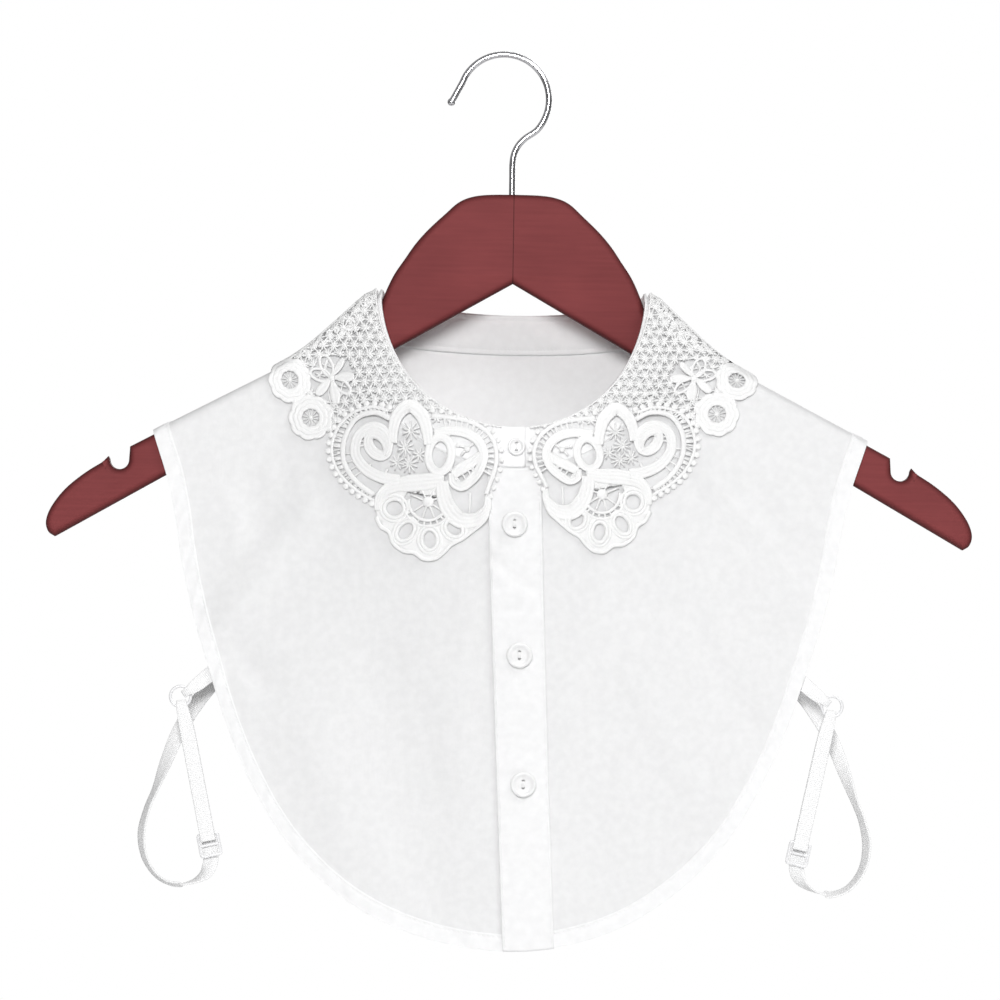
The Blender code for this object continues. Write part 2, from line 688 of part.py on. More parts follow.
def fold_line(face, x_from, count):
    """The fold, from a place beside the middle out to the shoulder ridge."""
    s = SURFACES["leaf", face]
    angles = np.linspace(math.acos(x_from / s["half"]), LEAF_START, count)
    x, z = flat_place("leaf", face, angles, 0.0 * angles)
    return [np.array(point) for point in zip(x, z)]


def ridge_line(count):
    """The shoulder ridge, from the fold to the leaf's edge."""
    w = np.linspace(0.0, LEAF_REACH, count)
    x, z = flat_place("leaf", "front", np.full(count, LEAF_START), w)
    return [np.array(point) for point in zip(x, z)]


def leaf_outline(face, edge, mirrored):
    """Closed outline of a leaf in the flat front view."""
    rim = []
    for (x0, z0, bulge), (x1, z1, _) in zip(edge, edge[1:]):
        rim += arc_points((x0, z0), (x1, z1), bulge, 5 if bulge > 4 else 4)
    ridge = ridge_line(7)
    fold = fold_line(face, edge[0][0], 16)
    if not mirrored:
        return rim + ridge[::-1] + fold[-2:0:-1]
    left = [(-x, z) for x, z in rim[:0:-1]] + [rim[0]]
    outline = rim + ridge[::-1] + fold[-2::-1]
    return outline + [(-x, z) for x, z in fold[1:-1]] + [(-x, z) for x, z in ridge] + left[:-1]


def gap_outline(x, z, width, height, turn, count=9):
    """Points round an oval gap."""
    turn = math.radians(turn)
    cos, sin = math.cos(turn), math.sin(turn)
    points = []
    for k in range(count):
        a = 2 * math.pi * k / count + 0.3
        u = 0.5 * width * math.cos(a)
        v = 0.5 * height * math.sin(a)
        points.append((x + u * cos - v * sin, z + u * sin + v * cos))
    return points


def flat_lace(name, loops, thickness):
    """Flat filled outline with its gaps, as a closed mesh in millimetres."""
    curve = bpy.data.curves.new(name, "CURVE")
    curve.dimensions = "2D"
    curve.fill_mode = "BOTH"
    curve.extrude = 0.5 * thickness
    for loop in loops:
        spline = curve.splines.new("POLY")
        spline.points.add(len(loop) - 1)
        for place, (x, z) in zip(spline.points, loop):
            place.co = (float(x), float(z), 0.0, 1.0)
        spline.use_cyclic_u = True
    item = bpy.data.objects.new(name, curve)
    bpy.context.scene.collection.objects.link(item)
    bpy.context.view_layer.update()
    mesh = evaluated_mesh(item)
    bpy.data.curves.remove(curve)
    return mesh


def cut_rows(bm, place, direction):
    """Cut a row of edges across a flat mesh and mark them as seams."""
    geometry = bm.verts[:] + bm.edges[:] + bm.faces[:]
    cut = bmesh.ops.bisect_plane(bm, geom=geometry, dist=1e-3, plane_co=place, plane_no=direction)
    for edge in cut["geom_cut"]:
        if isinstance(edge, bmesh.types.BMEdge):
            edge.seam = True


def drape_lace(name, face, hand, loops, step, collection, paint):
    """Lay a flat lace mesh on the leaf's surface."""
    mesh = flat_lace(name, loops, LACE)
    bm = bmesh.new()
    bm.from_mesh(mesh)
    bmesh.ops.remove_doubles(bm, verts=bm.verts, dist=1e-3)
    low = min(v.co.x for v in bm.verts)
    high = max(v.co.x for v in bm.verts)
    for x in np.arange(math.ceil(low / step) * step + ROW_START, high, step):
        cut_rows(bm, (x, 0, 0), (1, 0, 0))
    for z in np.arange(LEAF_LOWEST + ROW_START, LEAF_HIGHEST, step):
        cut_rows(bm, (0, z, 0), (0, 1, 0))
    s = SURFACES["leaf", face]
    for below in RIDGE_CUTS:
        for sign in ((1, -1) if low < 0 else (1,)):
            place = (sign * s["half"], s["top"] - below / s["run"], 0)
            cut_rows(bm, place, (sign * s["fall"], s["run"], 0))
    bmesh.ops.dissolve_limit(bm, angle_limit=0.01, use_dissolve_boundaries=False, verts=bm.verts,
                             edges=bm.edges, delimit={"SEAM"})
    bmesh.ops.triangulate(bm, faces=bm.faces)
    x = np.array([v.co.x for v in bm.verts])
    z = np.array([v.co.y for v in bm.verts])
    rise = np.array([v.co.z for v in bm.verts])
    for vert, point in zip(bm.verts, leaf_place(face, hand, x, z, rise)):
        vert.co = Vector(point * MM)
    face_out(bm)
    bm.to_mesh(mesh)
    bm.free()
    add_object(name, mesh, collection, paint)


def leaf_place(face, hand, x, z, rise):
    """Front-view design points laid on the leaf, raised along its normal."""
    t, w = ray_of("leaf", face, x, z)
    w = np.maximum(w, 0.0)
    t = np.where(x < 0, np.pi - t, t)

    def at(dt, dw):
        return surface("leaf", face, hand, t + dt, w + dw)

    point = at(0.0, 0.0)
    inward = np.where(t < 0.5 * math.pi, 0.004, -0.004)
    normal = np.cross(at(inward, 0.0) - point, at(0.0, 0.4) - point)
    normal /= np.maximum(np.linalg.norm(normal, axis=-1, keepdims=True), 1e-12)
    side = SURFACES["leaf", face]["side"]
    flip = np.sign(normal[:, 1:2] * side)
    normal = normal * np.where(flip == 0, 1.0, flip)
    point = point + (rise[:, None] - 0.5 * LACE) * normal
    return keep_side(point, face)


def build_lace(collection, paint):
    """Two front leaves and the back stretch, each one solid."""
    for name, hand in (("lace_leaf_left", -1), ("lace_leaf_right", 1)):
        loops = [leaf_outline("front", LEAF_EDGE, False)]
        loops += [gap_outline(*row) for row in LEAF_GAPS]
        drape_lace(name, "front", hand, loops, FRONT_LACE_STEP, collection, paint)
    gaps = [gap_outline(x, z, BACK_GAP_WIDE, BACK_GAP_HIGH, turn, 8) for x, z, turn in BACK_GAPS]
    gaps += [[(-x, z) for x, z in loop] for loop in gaps]
    loops = [leaf_outline("back", BACK_EDGE, True)] + gaps
    drape_lace("lace_leaf_back", "back", 1, loops, BACK_LACE_STEP, collection, paint)


# Buttons

BUTTONS = (
    # name, x, z, radius
    ("button_stand", 0.3, -188.0, 4.2),
    ("button_top", 0.0, -223.8, 6.2),
    ("button_middle", 3.4, -286.5, 6.2),
    ("button_bottom", 6.3, -348.6, 6.2),
)
BUTTON_CLEAR = 0.4          # gap between a button and the cloth
SEWING_HOLE = 0.8           # radius
SEWING_APART = 1.6          # each hole from the button's middle
BUTTON_PROFILE = (
    # share of the radius, height
    (0.0, 1.5), (0.62, 1.5), (0.72, 2.1), (0.88, 2.3), (1.0, 1.5), (0.94, 0.4), (0.8, 0.0), (0.0, 0.0),
)


def button_mesh(name, radius):
    """Turned disc with a rim and two sewing holes."""
    profile = bpy.data.meshes.new(name)
    points = [(share * radius * MM, 0.0, height * MM) for share, height in BUTTON_PROFILE]
    profile.from_pydata(points, [(k, k + 1) for k in range(len(points) - 1)], [])
    item = bpy.data.objects.new(name, profile)
    bpy.context.scene.collection.objects.link(item)
    turned = item.modifiers.new("turn", "SCREW")
    turned.steps = 16
    turned.render_steps = 16
    turned.use_merge_vertices = True
    turned.merge_threshold = 0.00001
    cutters = []
    for sign in (-1, 1):
        hole = bpy.data.meshes.new("sewing_hole")
        bm = bmesh.new()
        bmesh.ops.create_cone(bm, cap_ends=True, segments=8, radius1=SEWING_HOLE * MM,
                              radius2=SEWING_HOLE * MM, depth=8.0 * MM)
        bm.to_mesh(hole)
        bm.free()
        cutter = bpy.data.objects.new("sewing_hole", hole)
        CUTTERS.objects.link(cutter)
        cutter.location = (0.0, sign * SEWING_APART * MM, 0.0)
        cutter.rotation_euler = (0.0, 0.0, 0.2)
        cut = item.modifiers.new("sewing hole", "BOOLEAN")
        cut.object = cutter
        cutters.append(cutter)
    bpy.context.view_layer.update()
    mesh = evaluated_mesh(item)
    for cutter in cutters:
        bpy.data.objects.remove(cutter, do_unlink=True)
    weld(mesh, 1e-6)
    return mesh


def cloth_seat(x, z):
    """Point and normal on the front cloth at a front-view place near the middle."""
    step = np.array([-1.0, 0.0, 1.0])
    grid_x, grid_z = np.meshgrid(x + step, z - step, indexing="ij")
    t, w = ray_of("cloth", "front", grid_x, grid_z)
    t = np.where(grid_x < 0, np.pi - t, t)
    points = surface("cloth", "front", 1, t, w)
    return points[1, 1], outward(points, "front")[1, 1]


def stand_seat(x, z):
    """Point and normal on the stand at a front-view place near the middle."""
    t = math.acos(x / SURFACES["cloth", "front"]["half"])
    share = (PLACKET_TOP_Z - z) / (PLACKET_TOP_Z - STAND_TOP_Z)
    point = stand_point("front", 1, t, share)
    slope = stand_point("front", 1, t, share + 0.2) - point
    normal = np.array([0.0, -slope[2], slope[1]]) / np.hypot(slope[1], slope[2])
    return np.array([lean(x), point[1], z]), normal


def build_buttons(collection, paint):
    for name, x, z, radius in BUTTONS:
        if name == "button_stand":
            point, normal = stand_seat(x, z)
            lift = BUTTON_CLEAR
        else:
            point, normal = cloth_seat(x, z)
            lift = PLACKET_LIFT + CLOTH / 2 + BUTTON_CLEAR
        mesh = button_mesh(name, radius)
        frame = Vector(normal).to_track_quat("Z", "Y").to_matrix().to_4x4()
        mesh.transform(Matrix.Translation(Vector((point + lift * normal) * MM)) @ frame)
        add_object(name, mesh, collection, paint)


# Side straps

RING_X = 156.4
RING_Y = -10.4
RING_Z = -310.0
RING_MEAN = 4.9
RING_WIRE = 0.7
STRAP_THICK = 0.9
SLIDER = dict(x=141.4, z=-381.0, wide=10.8, high=12.0, thick=1.2, tilt=12.0,
              slot_wide=8.2, slot_high=3.2, slot_apart=2.5)
STRAP_ROUTE = (
    # x, y from the ring's plane, z, turn toward edge-on, width
    (141.9, -1.6, -379.2, 0, 7.2), (143.6, -1.6, -371.0, 0, 7.2), (148.6, -1.6, -347.0, 0, 7.2),
    (153.0, -1.6, -326.0, 0, 7.0), (155.2, -1.6, -316.6, 0, 5.8), (155.9, -1.3, -313.4, 0, 5.0),
    (156.1, 0.0, -312.1, 0, 4.8), (155.9, 1.3, -313.4, 0, 5.0), (155.2, 1.6, -316.6, 0, 5.8),
    (153.0, 1.6, -326.0, 0, 7.0), (148.6, 1.6, -347.0, 0, 7.2), (143.6, 1.6, -371.0, 0, 7.2),
    (141.4, 1.8, -381.5, 0, 7.2), (140.8, 2.6, -388.6, 6, 7.2), (143.4, 4.0, -395.0, 34, 7.2),
    (150.2, 5.4, -399.4, 60, 7.2), (158.8, 6.6, -400.6, 72, 7.2), (167.0, 7.8, -396.8, 72, 7.2),
    (173.0, 9.0, -388.0, 66, 7.2), (174.8, 10.0, -376.6, 60, 7.2), (172.4, 11.0, -365.0, 66, 7.2),
    (168.4, 12.2, -355.0, 64, 7.2), (163.6, 13.6, -342.0, 36, 7.2), (158.0, 15.2, -328.0, 14, 7.2),
    (151.4, 16.8, -316.6, 6, 7.2), (144.0, 19.2, -306.4, 4, 7.2), (137.6, 20.2, -300.0, 4, 7.2),
)
TAB_ROUTE = (
    # x, y from the ring's plane, z, turn, width
    (136.6, -1.0, -294.8, 0, 7.2), (142.0, -1.2, -298.9, 0, 7.2), (149.0, -1.6, -304.6, 0, 6.4),
    (152.6, -1.5, -307.2, 0, 4.4), (154.9, 0.0, -308.9, 0, 3.8), (152.6, 1.5, -307.2, 0, 4.4),
    (149.0, 1.6, -304.6, 0, 6.4), (142.0, 1.6, -298.9, 0, 7.2), (136.6, 1.5, -294.8, 0, 7.2),
)


def ribbon_mesh(name, route, hand, steps):
    """Flat elastic swept along a route, turning as the table says."""
    path = curve_path(route, steps)
    centre = path[:, :3] * (hand, 1.0, 1.0)
    centre[:, 1] += RING_Y
    turn = np.radians(path[:, 3])
    tangent = np.gradient(centre, axis=0)
    tangent /= np.linalg.norm(tangent, axis=1, keepdims=True)
    depth = np.array([0.0, 1.0, 0.0])
    flat = tangent * (1.0, 0.0, 1.0)
    for k in range(1, len(flat)):
        if np.linalg.norm(flat[k]) < 0.75 or np.dot(flat[k], flat[k - 1]) < 0:
            flat[k] = flat[k - 1]
    across = np.cross(flat, depth)
    across /= np.linalg.norm(across, axis=1, keepdims=True)
    for k in range(1, len(across)):
        if np.dot(across[k], across[k - 1]) < 0:
            across[k] = -across[k]
    wide = across * np.cos(turn)[:, None] + depth * np.sin(turn)[:, None]
    wide -= tangent * np.sum(wide * tangent, axis=1, keepdims=True)
    wide /= np.linalg.norm(wide, axis=1, keepdims=True)
    thick = np.cross(tangent, wide)
    edges = np.stack([centre - 0.5 * path[:, 4:5] * wide, centre + 0.5 * path[:, 4:5] * wide], axis=1)
    raised = 0.5 * STRAP_THICK * thick[:, None, :]
    return wall_mesh(name, edges + raised, edges - raised)


def build_slider(name, hand, collection, paint):
    """Flat three-bar slider between the strap's two layers."""
    mesh = bpy.data.meshes.new(name)
    bm = bmesh.new()
    bmesh.ops.create_cube(bm, size=1.0)
    size = (SLIDER["wide"] * MM, SLIDER["thick"] * MM, SLIDER["high"] * MM)
    bmesh.ops.scale(bm, vec=size, verts=bm.verts)
    bm.to_mesh(mesh)
    bm.free()
    item = bpy.data.objects.new(name, mesh)
    bpy.context.scene.collection.objects.link(item)
    cutters = []
    for sign in (-1, 1):
        slot = bpy.data.meshes.new("slot")
        bm = bmesh.new()
        bmesh.ops.create_cube(bm, size=1.0)
        size = (SLIDER["slot_wide"] * MM, 5 * SLIDER["thick"] * MM, SLIDER["slot_high"] * MM)
        bmesh.ops.scale(bm, vec=size, verts=bm.verts)
        bm.to_mesh(slot)
        bm.free()
        cutter = bpy.data.objects.new("slot", slot)
        CUTTERS.objects.link(cutter)
        cutter.location = (0.0, 0.0, sign * SLIDER["slot_apart"] * MM)
        cut = item.modifiers.new("slot", "BOOLEAN")
        cut.object = cutter
        cutters.append(cutter)
    bpy.context.view_layer.update()
    mesh = evaluated_mesh(item)
    for cutter in cutters:
        bpy.data.objects.remove(cutter, do_unlink=True)
    place = Matrix.Translation(Vector((hand * SLIDER["x"] * MM, RING_Y * MM, SLIDER["z"] * MM)))
    mesh.transform(place @ Matrix.Rotation(math.radians(hand * SLIDER["tilt"]), 4, "Y"))
    add_object(name, mesh, collection, paint)


def build_ring(name, hand, collection, paint):
    turns = np.linspace(0, 2 * math.pi, 20, endpoint=False)
    circle = [(hand * RING_X + RING_MEAN * math.cos(a), RING_Y, RING_Z + RING_MEAN * math.sin(a))
              for a in turns]
    wire = wire_curve(name, circle, RING_WIRE, closed=True, resolution=1)
    item = bpy.data.objects.new(name, wire)
    bpy.context.scene.collection.objects.link(item)
    bpy.context.view_layer.update()
    mesh = evaluated_mesh(item)
    weld(mesh, 1e-6)
    add_object(name, mesh, collection, paint)


def build_straps(collection, band, hard):
    """On each side a tab sewn to the front, a ring, and the loop that runs to the back."""
    for side, hand in (("left", -1), ("right", 1)):
        build_ring(f"strap_ring_{side}", hand, collection, hard)
        build_slider(f"strap_slider_{side}", hand, collection, hard)
        for piece, route in (("tab", TAB_ROUTE), ("loop", STRAP_ROUTE)):
            name = f"strap_{piece}_{side}"
            add_object(name, ribbon_mesh(name, route, hand, 2), collection, band)


def build():
    collection = make_collection("lace_collar_on_hanger")
    ROOT.location = (CENTRE_X * MM, 0.0, 0.0)
    collection.objects.link(ROOT)
    cotton = material("white cotton", (0.86, 0.86, 0.87), 0.85)
    lace = material("white lace", (0.88, 0.88, 0.87), 0.9)
    wood = material("dark cherry wood", (0.14, 0.035, 0.035), 0.4)
    chrome = material("chrome wire", (0.75, 0.75, 0.77), 0.2, 1.0)
    pearl = material("white button", (0.85, 0.85, 0.85), 0.35)
    elastic = material("white elastic", (0.84, 0.84, 0.85), 0.8)
    build_hanger(collection, wood)
    build_hook(collection, chrome)
    build_front_panels(collection, cotton)
    build_back_panel(collection, cotton)
    build_placket(collection, cotton)
    build_stand(collection, cotton)
    build_lace(collection, lace)
    build_buttons(collection, pearl)
    build_straps(collection, elastic, pearl)


clear_scene()
ROOT = bpy.data.objects.new("garment_root", None)
CUTTERS = make_collection("cutters")
build()
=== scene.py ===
# Looks for a lace-trimmed detachable collar on a flat wooden hanger.
# Lengths in tables are millimetres; MM turns them into metres when a mesh is made.
# The front looks along -Y, and x in tables is counted from the hanger's middle.

import math

import bmesh
import bpy
import numpy as np
from mathutils import Matrix, Vector


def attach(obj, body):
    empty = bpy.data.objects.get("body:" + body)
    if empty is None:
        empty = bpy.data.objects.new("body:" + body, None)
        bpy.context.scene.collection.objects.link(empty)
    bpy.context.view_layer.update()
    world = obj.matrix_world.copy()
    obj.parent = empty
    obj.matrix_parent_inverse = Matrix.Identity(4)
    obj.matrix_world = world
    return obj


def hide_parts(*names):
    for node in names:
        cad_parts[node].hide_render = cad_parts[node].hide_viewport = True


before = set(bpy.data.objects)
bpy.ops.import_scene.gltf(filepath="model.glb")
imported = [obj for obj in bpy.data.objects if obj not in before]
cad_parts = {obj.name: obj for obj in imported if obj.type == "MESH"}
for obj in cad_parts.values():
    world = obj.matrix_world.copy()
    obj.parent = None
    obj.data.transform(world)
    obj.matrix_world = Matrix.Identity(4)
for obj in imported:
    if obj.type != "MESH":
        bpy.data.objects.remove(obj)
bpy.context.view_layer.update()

MM = 0.001
CENTRE_X = 5.6
CENTRE_SHIFT = 2.6
CENTRE_WIDE = 75.0
EDGE = 0.15

# Cloth
CLOTH = 0.5
BAND = 8.0
BAND_RISE = 0.45
PLACKET_HALF = 12.6
PLACKET_TOP_Z = -197.2
PLACKET_FOOT_Z = -428.6
PLACKET_SLANT = 10.2
PLACKET_LIFT = 1.4          # middle of the placket's layers above the cloth
PLACKET_THICK = 1.0
STAND = 1.2
LACE = 1.2
STITCH = 2.4                # length of one stitch and its gap
THREAD = 0.17

# Draped surfaces, in the solids' own terms: w mm out from the neck along rays t
SURFACES = {
    ("cloth", "front"): dict(half=74.0, top=-131.5, run=0.887, fall=0.461, drop=65.4,
                             spread=0.539, depth=37.0, side=-1),
    ("cloth", "back"): dict(half=74.0, top=-131.5, run=0.887, fall=0.461, drop=10.4,
                            spread=0.539, depth=20.0, side=1),
    ("leaf", "front"): dict(half=66.0, top=-109.5, run=0.73, fall=0.68, drop=69.0,
                            spread=0.32, depth=35.5, side=-1),
    ("leaf", "back"): dict(half=66.0, top=-109.5, run=0.73, fall=0.68, drop=14.0,
                           spread=0.32, depth=17.0, side=1),
}
RIDGE_WIDE = 8.0
RIDGE_HIGH = 6.0
RIDGE_SQUARE = 2.5
RIDGE_GROWTH = 0.01
ARM_DEEP = 26.0
LEAF_LANDS = 49.0
LEAF_BEND = 0.30
LEAF_SOFT = 6.0
LEAF_CLEAR = 1.6
NECK_POWER = 1.2

HEM_MID_Z = -282.0
HEM = (
    # angle, radius
    (-90, 147.2), (-66, 146.0), (-43, 142.0), (-29, 139.6), (-16, 140.2), (-4, 144.6),
    (4, 151.0), (14, 162.0), (20, 170.6), (25, 181.5), (30.1, 198.6), (36, 222.0),
)
HEM_NEAREST = 60.0
HEM_FARTHEST = 320.0
NECK_START = 0.4
RIDGE_START = 0.0

# The solids' largest folds, and below them the small ones that only show in the light
CREASES = {
    "front": (
        # x0, z0, x1, z1, width, height
        (-140, -276, -100, -224, 9, 2.4),
        (-141, -279, -118, -300, 8, -1.6),
        (-60, -300, -36, -400, 17, -2.4),
        (-92, -330, -70, -392, 13, 1.6),
        (-120, -225, -128, -190, 10, -1.4),
        (96, -196, 142, -240, 9, -2.6),
        (80, -204, 128, -258, 10, 2.0),
        (44, -250, 39, -380, 14, -2.2),
        (84, -266, 116, -322, 11, -2.2),
        (66, -286, 92, -350, 12, 1.8),
    ),
    "back": (
        (-70, -220, -50, -380, 18, -2.2),
        (60, -240, 80, -360, 16, -2.0),
        (0, -200, 6, -400, 20, 1.8),
        (-120, -230, -100, -300, 12, 1.6),
    ),
}


def placket_mid(z):
    share = np.clip((PLACKET_TOP_Z - z) / (PLACKET_TOP_Z - PLACKET_FOOT_Z), 0.0, 1.1)
    return PLACKET_SLANT * share ** 1.15


def smooth(value):
    value = np.clip(value, 0.0, 1.0)
    return value * value * (3.0 - 2.0 * value)


def ridge_round(below):
    """Depth of the cloth over the hanger, for a distance below the ridge."""
    left = 1.0 - np.clip(below / RIDGE_HIGH, 0.0, 1.0)
    over = (1.0 - left ** RIDGE_SQUARE) ** (1.0 / RIDGE_SQUARE)
    return RIDGE_WIDE * over + RIDGE_GROWTH * np.maximum(below - RIDGE_HIGH, 0.0)


def ridge_lift(kind, w):
    if kind == "cloth":
        return 0.0 * w
    return LEAF_BEND * LEAF_SOFT * np.log1p(np.exp((w - LEAF_LANDS) / LEAF_SOFT))


def flat_place(kind, face, t, w):
    """Front-view place (x, z) of ray angle t and distance w, x counted outward."""
    s = SURFACES[kind, face]
    x = (s["half"] + s["run"] * w) * np.cos(t)
    z = s["top"] - s["fall"] * w - (s["drop"] + s["spread"] * w) * np.sin(t)
    return x, z + ridge_lift(kind, w) * np.abs(np.cos(t))


def ray_of(kind, face, x, z):
    """Ray angle t and distance w of a front-view place, found by halving."""
    s = SURFACES[kind, face]
    x = np.abs(np.asarray(x, float))
    z = np.asarray(z, float)
    low = np.full(x.shape, -17.0)
    high = np.full(x.shape, 400.0)
    for _ in range(44):
        w = 0.5 * (low + high)
        across = x / (s["half"] + s["run"] * w)
        level = s["top"] - s["fall"] * w + ridge_lift(kind, w) * np.clip(across, 0.0, 1.0)
        down = np.maximum(level - z, 0.0) / (s["drop"] + s["spread"] * w)
        outside = across ** 2 + down ** 2 > 1.0
        low = np.where(outside, w, low)
        high = np.where(outside, high, w)
    return np.arctan2(down, across), w


def neck_bulge(face, t, w):
    fade = 0.2 + 0.8 * np.exp(-(np.maximum(w, 0.0) / 105.0) ** 1.3)
    narrow = 1.2 + 2.0 * smooth(w / 80.0)
    return SURFACES["cloth", face]["depth"] * np.maximum(np.sin(t), 0.0) ** narrow * fade


def creases(table, x, z):
    """Soft ridges and troughs laid along short lines."""
    total = np.zeros(np.shape(x))
    for x0, z0, x1, z1, width, height in table:
        along = np.array([x1 - x0, z1 - z0], float)
        length = np.hypot(*along)
        along /= length
        far = (x - x0) * along[0] + (z - z0) * along[1]
        off = -(x - x0) * along[1] + (z - z0) * along[0]
        ends = np.clip(far / length, 0.0, 1.0)
        beyond = far - ends * length
        total = total + height * np.exp(-(off / width) ** 2 - (beyond / (1.5 * width)) ** 2)
    return total


def folds(face, x, z, below, w):
    clear_of_arm = smooth((below - ARM_DEEP) / 20.0)
    clear_of_neck = smooth((w - 12.0) / 30.0)
    return clear_of_arm * clear_of_neck * creases(CREASES[face], x, z)


def depth_of(kind, face, t, w, x, z):
    """Depth in front of, or behind, the hanger's middle plane."""
    s = SURFACES[kind, face]
    down = np.maximum(np.sin(t), 0.0)
    aside = s["fall"] / s["run"] * (s["half"] + s["run"] * w) * (1.0 - np.abs(np.cos(t)))
    below = s["run"] * ((s["drop"] + s["spread"] * w) * down + aside)
    if kind == "cloth":
        return ridge_round(below) + neck_bulge(face, t, w) + folds(face, x, z, below, w)
    cloth_t, cloth_w = ray_of("cloth", face, x, z)
    lie = smooth(w / 35.0)
    cloth_swell = neck_bulge(face, cloth_t, cloth_w) + folds(face, x, z, below, cloth_w)
    swell = (1.0 - lie) * s["depth"] * down ** NECK_POWER + lie * cloth_swell
    clear = LEAF_CLEAR + 1.4 * smooth(w / 14.0) - 0.9 * smooth((w - 20.0) / 30.0)
    if face == "front":
        over_placket = smooth((PLACKET_HALF + 8.0 - np.abs(x - placket_mid(z))) / 6.0)
        clear = clear + PLACKET_LIFT * over_placket * smooth((w - 6.0) / 10.0)
    return ridge_round(below) + swell + clear * np.clip(below / 3.0, 0.0, 1.0)


def lean(x):
    """The buttoned front sits a little to the viewer's right."""
    return x + CENTRE_SHIFT * np.clip(1.0 - np.abs(x) / CENTRE_WIDE, 0.0, 1.0)


def surface(kind, face, hand, t, w):
    """Points on a draped surface; hand is 1 on the viewer's right, -1 on the left."""
    t, w = np.broadcast_arrays(np.asarray(t, float), np.asarray(w, float))
    x, z = flat_place(kind, face, t, w)
    x = hand * x
    y = SURFACES[kind, face]["side"] * depth_of(kind, face, t, w, x, z)
    return np.stack([lean(x), y, z], axis=-1)


def outward(points, face):
    """Unit normals of a grid of points, turned away from the hanger."""
    normal = np.cross(np.gradient(points, axis=0), np.gradient(points, axis=1))
    normal = normal / np.maximum(np.linalg.norm(normal, axis=-1, keepdims=True), 1e-9)
    middle = normal[normal.shape[0] // 2, normal.shape[1] // 2]
    side = SURFACES["cloth", face]["side"]
    return normal if middle[1] * side > 0 else -normal


def keep_side(points, face):
    side = SURFACES["cloth", face]["side"]
    points = points.copy()
    points[..., 1] = side * np.maximum(side * points[..., 1], EDGE)
    return points


# Making objects

UV_WRAP = 4.0               # a face that spans more than this closes a ring

def new_object(name, vertices, faces, paints, uv=None, slots=None, smooth_angle=None):
    """A mesh object from points in millimetres, counted from the hanger's middle."""
    mesh = bpy.data.meshes.new(name)
    places = np.asarray(vertices, float) + (CENTRE_X, 0.0, 0.0)
    mesh.from_pydata((places * MM).tolist(), [], [tuple(face) for face in faces])
    for paint in paints:
        mesh.materials.append(paint)
    if slots is not None:
        mesh.polygons.foreach_set("material_index", slots)
    if uv is not None:
        layer = mesh.uv_layers.new(name="UVMap")
        loops = np.empty(len(mesh.loops), int)
        mesh.loops.foreach_get("vertex_index", loops)
        starts = np.empty(len(mesh.polygons), int)
        mesh.polygons.foreach_get("loop_start", starts)
        spread = np.asarray(uv, float)[loops]
        owner = np.searchsorted(starts, np.arange(len(loops)), side="right") - 1
        last = np.maximum.reduceat(spread[:, 0], starts)[owner]
        wrapped = spread[:, 0] < last - UV_WRAP
        spread[wrapped, 0] = last[wrapped] + 0.6
        layer.data.foreach_set("uv", spread.ravel())
    bm = bmesh.new()
    bm.from_mesh(mesh)
    bmesh.ops.recalc_face_normals(bm, faces=bm.faces)
    if bm.calc_volume(signed=True) < 0:
        bmesh.ops.reverse_faces(bm, faces=bm.faces)
    bm.to_mesh(mesh)
    bm.free()
    mesh.shade_smooth()
    if smooth_angle:
        mesh.set_sharp_from_angle(angle=math.radians(smooth_angle))
    item = bpy.data.objects.new(name, mesh)
    bpy.context.scene.collection.objects.link(item)
    return item


def wall(outer, inner):
    """Vertices and faces of a closed wall between two grids of points."""
    rows, cols = outer.shape[:2]
    index = np.arange(rows * cols).reshape(rows, cols)
    under = index + rows * cols
    corner = (index[:-1, :-1], index[1:, :-1], index[1:, 1:], index[:-1, 1:])
    faces = np.stack([part.ravel() for part in corner], axis=1).tolist()
    faces += np.stack([part.ravel() + rows * cols for part in corner[::-1]], axis=1).tolist()
    rim = list(index[:, 0]) + list(index[-1, 1:]) + list(index[-2::-1, -1]) + list(index[0, -2:0:-1])
    low = list(under[:, 0]) + list(under[-1, 1:]) + list(under[-2::-1, -1]) + list(under[0, -2:0:-1])
    count = len(rim)
    for k in range(count):
        n = (k + 1) % count
        faces.append((rim[k], low[k], low[n], rim[n]))
    points = np.concatenate([outer.reshape(-1, 3), inner.reshape(-1, 3)])
    return points, faces


def stitches(name, route, normals, paint, length=STITCH, radius=THREAD):
    """A row of sewn stitches along a route: short threads that dip at both ends."""
    steps = np.linalg.norm(np.diff(route, axis=0), axis=1)
    far = np.concatenate([[0.0], np.cumsum(steps)])
    vertices, faces = [], []
    shares = ((0.0, -0.9), (0.18, 0.35), (0.5, 0.75), (0.82, 0.35), (1.0, -0.9))
    for begin in np.arange(0.5 * length, far[-1] - length, length):
        base = len(vertices)
        for share, lift in shares:
            at = begin + 0.8 * length * share
            place = np.array([np.interp(at, far, route[:, k]) for k in range(3)])
            ahead = np.array([np.interp(at + 0.3, far, route[:, k]) for k in range(3)])
            normal = np.array([np.interp(at, far, normals[:, k]) for k in range(3)])
            along = ahead - place
            side = np.cross(along, normal)
            side /= max(np.linalg.norm(side), 1e-9)
            for k in range(6):
                a = math.tau * k / 6
                spot = side * math.cos(a) * 1.25 + normal * (math.sin(a) * 0.9 + lift)
                vertices.append(place + radius * spot)
        for ring in range(len(shares) - 1):
            for k in range(6):
                a, b = base + 6 * ring + k, base + 6 * ring + (k + 1) % 6
                faces.append((a, b, b + 6, a + 6))
        faces.append(tuple(range(base + 5, base - 1, -1)))
        faces.append(tuple(range(base + 24, base + 30)))
    return new_object(name, vertices, faces, [paint])


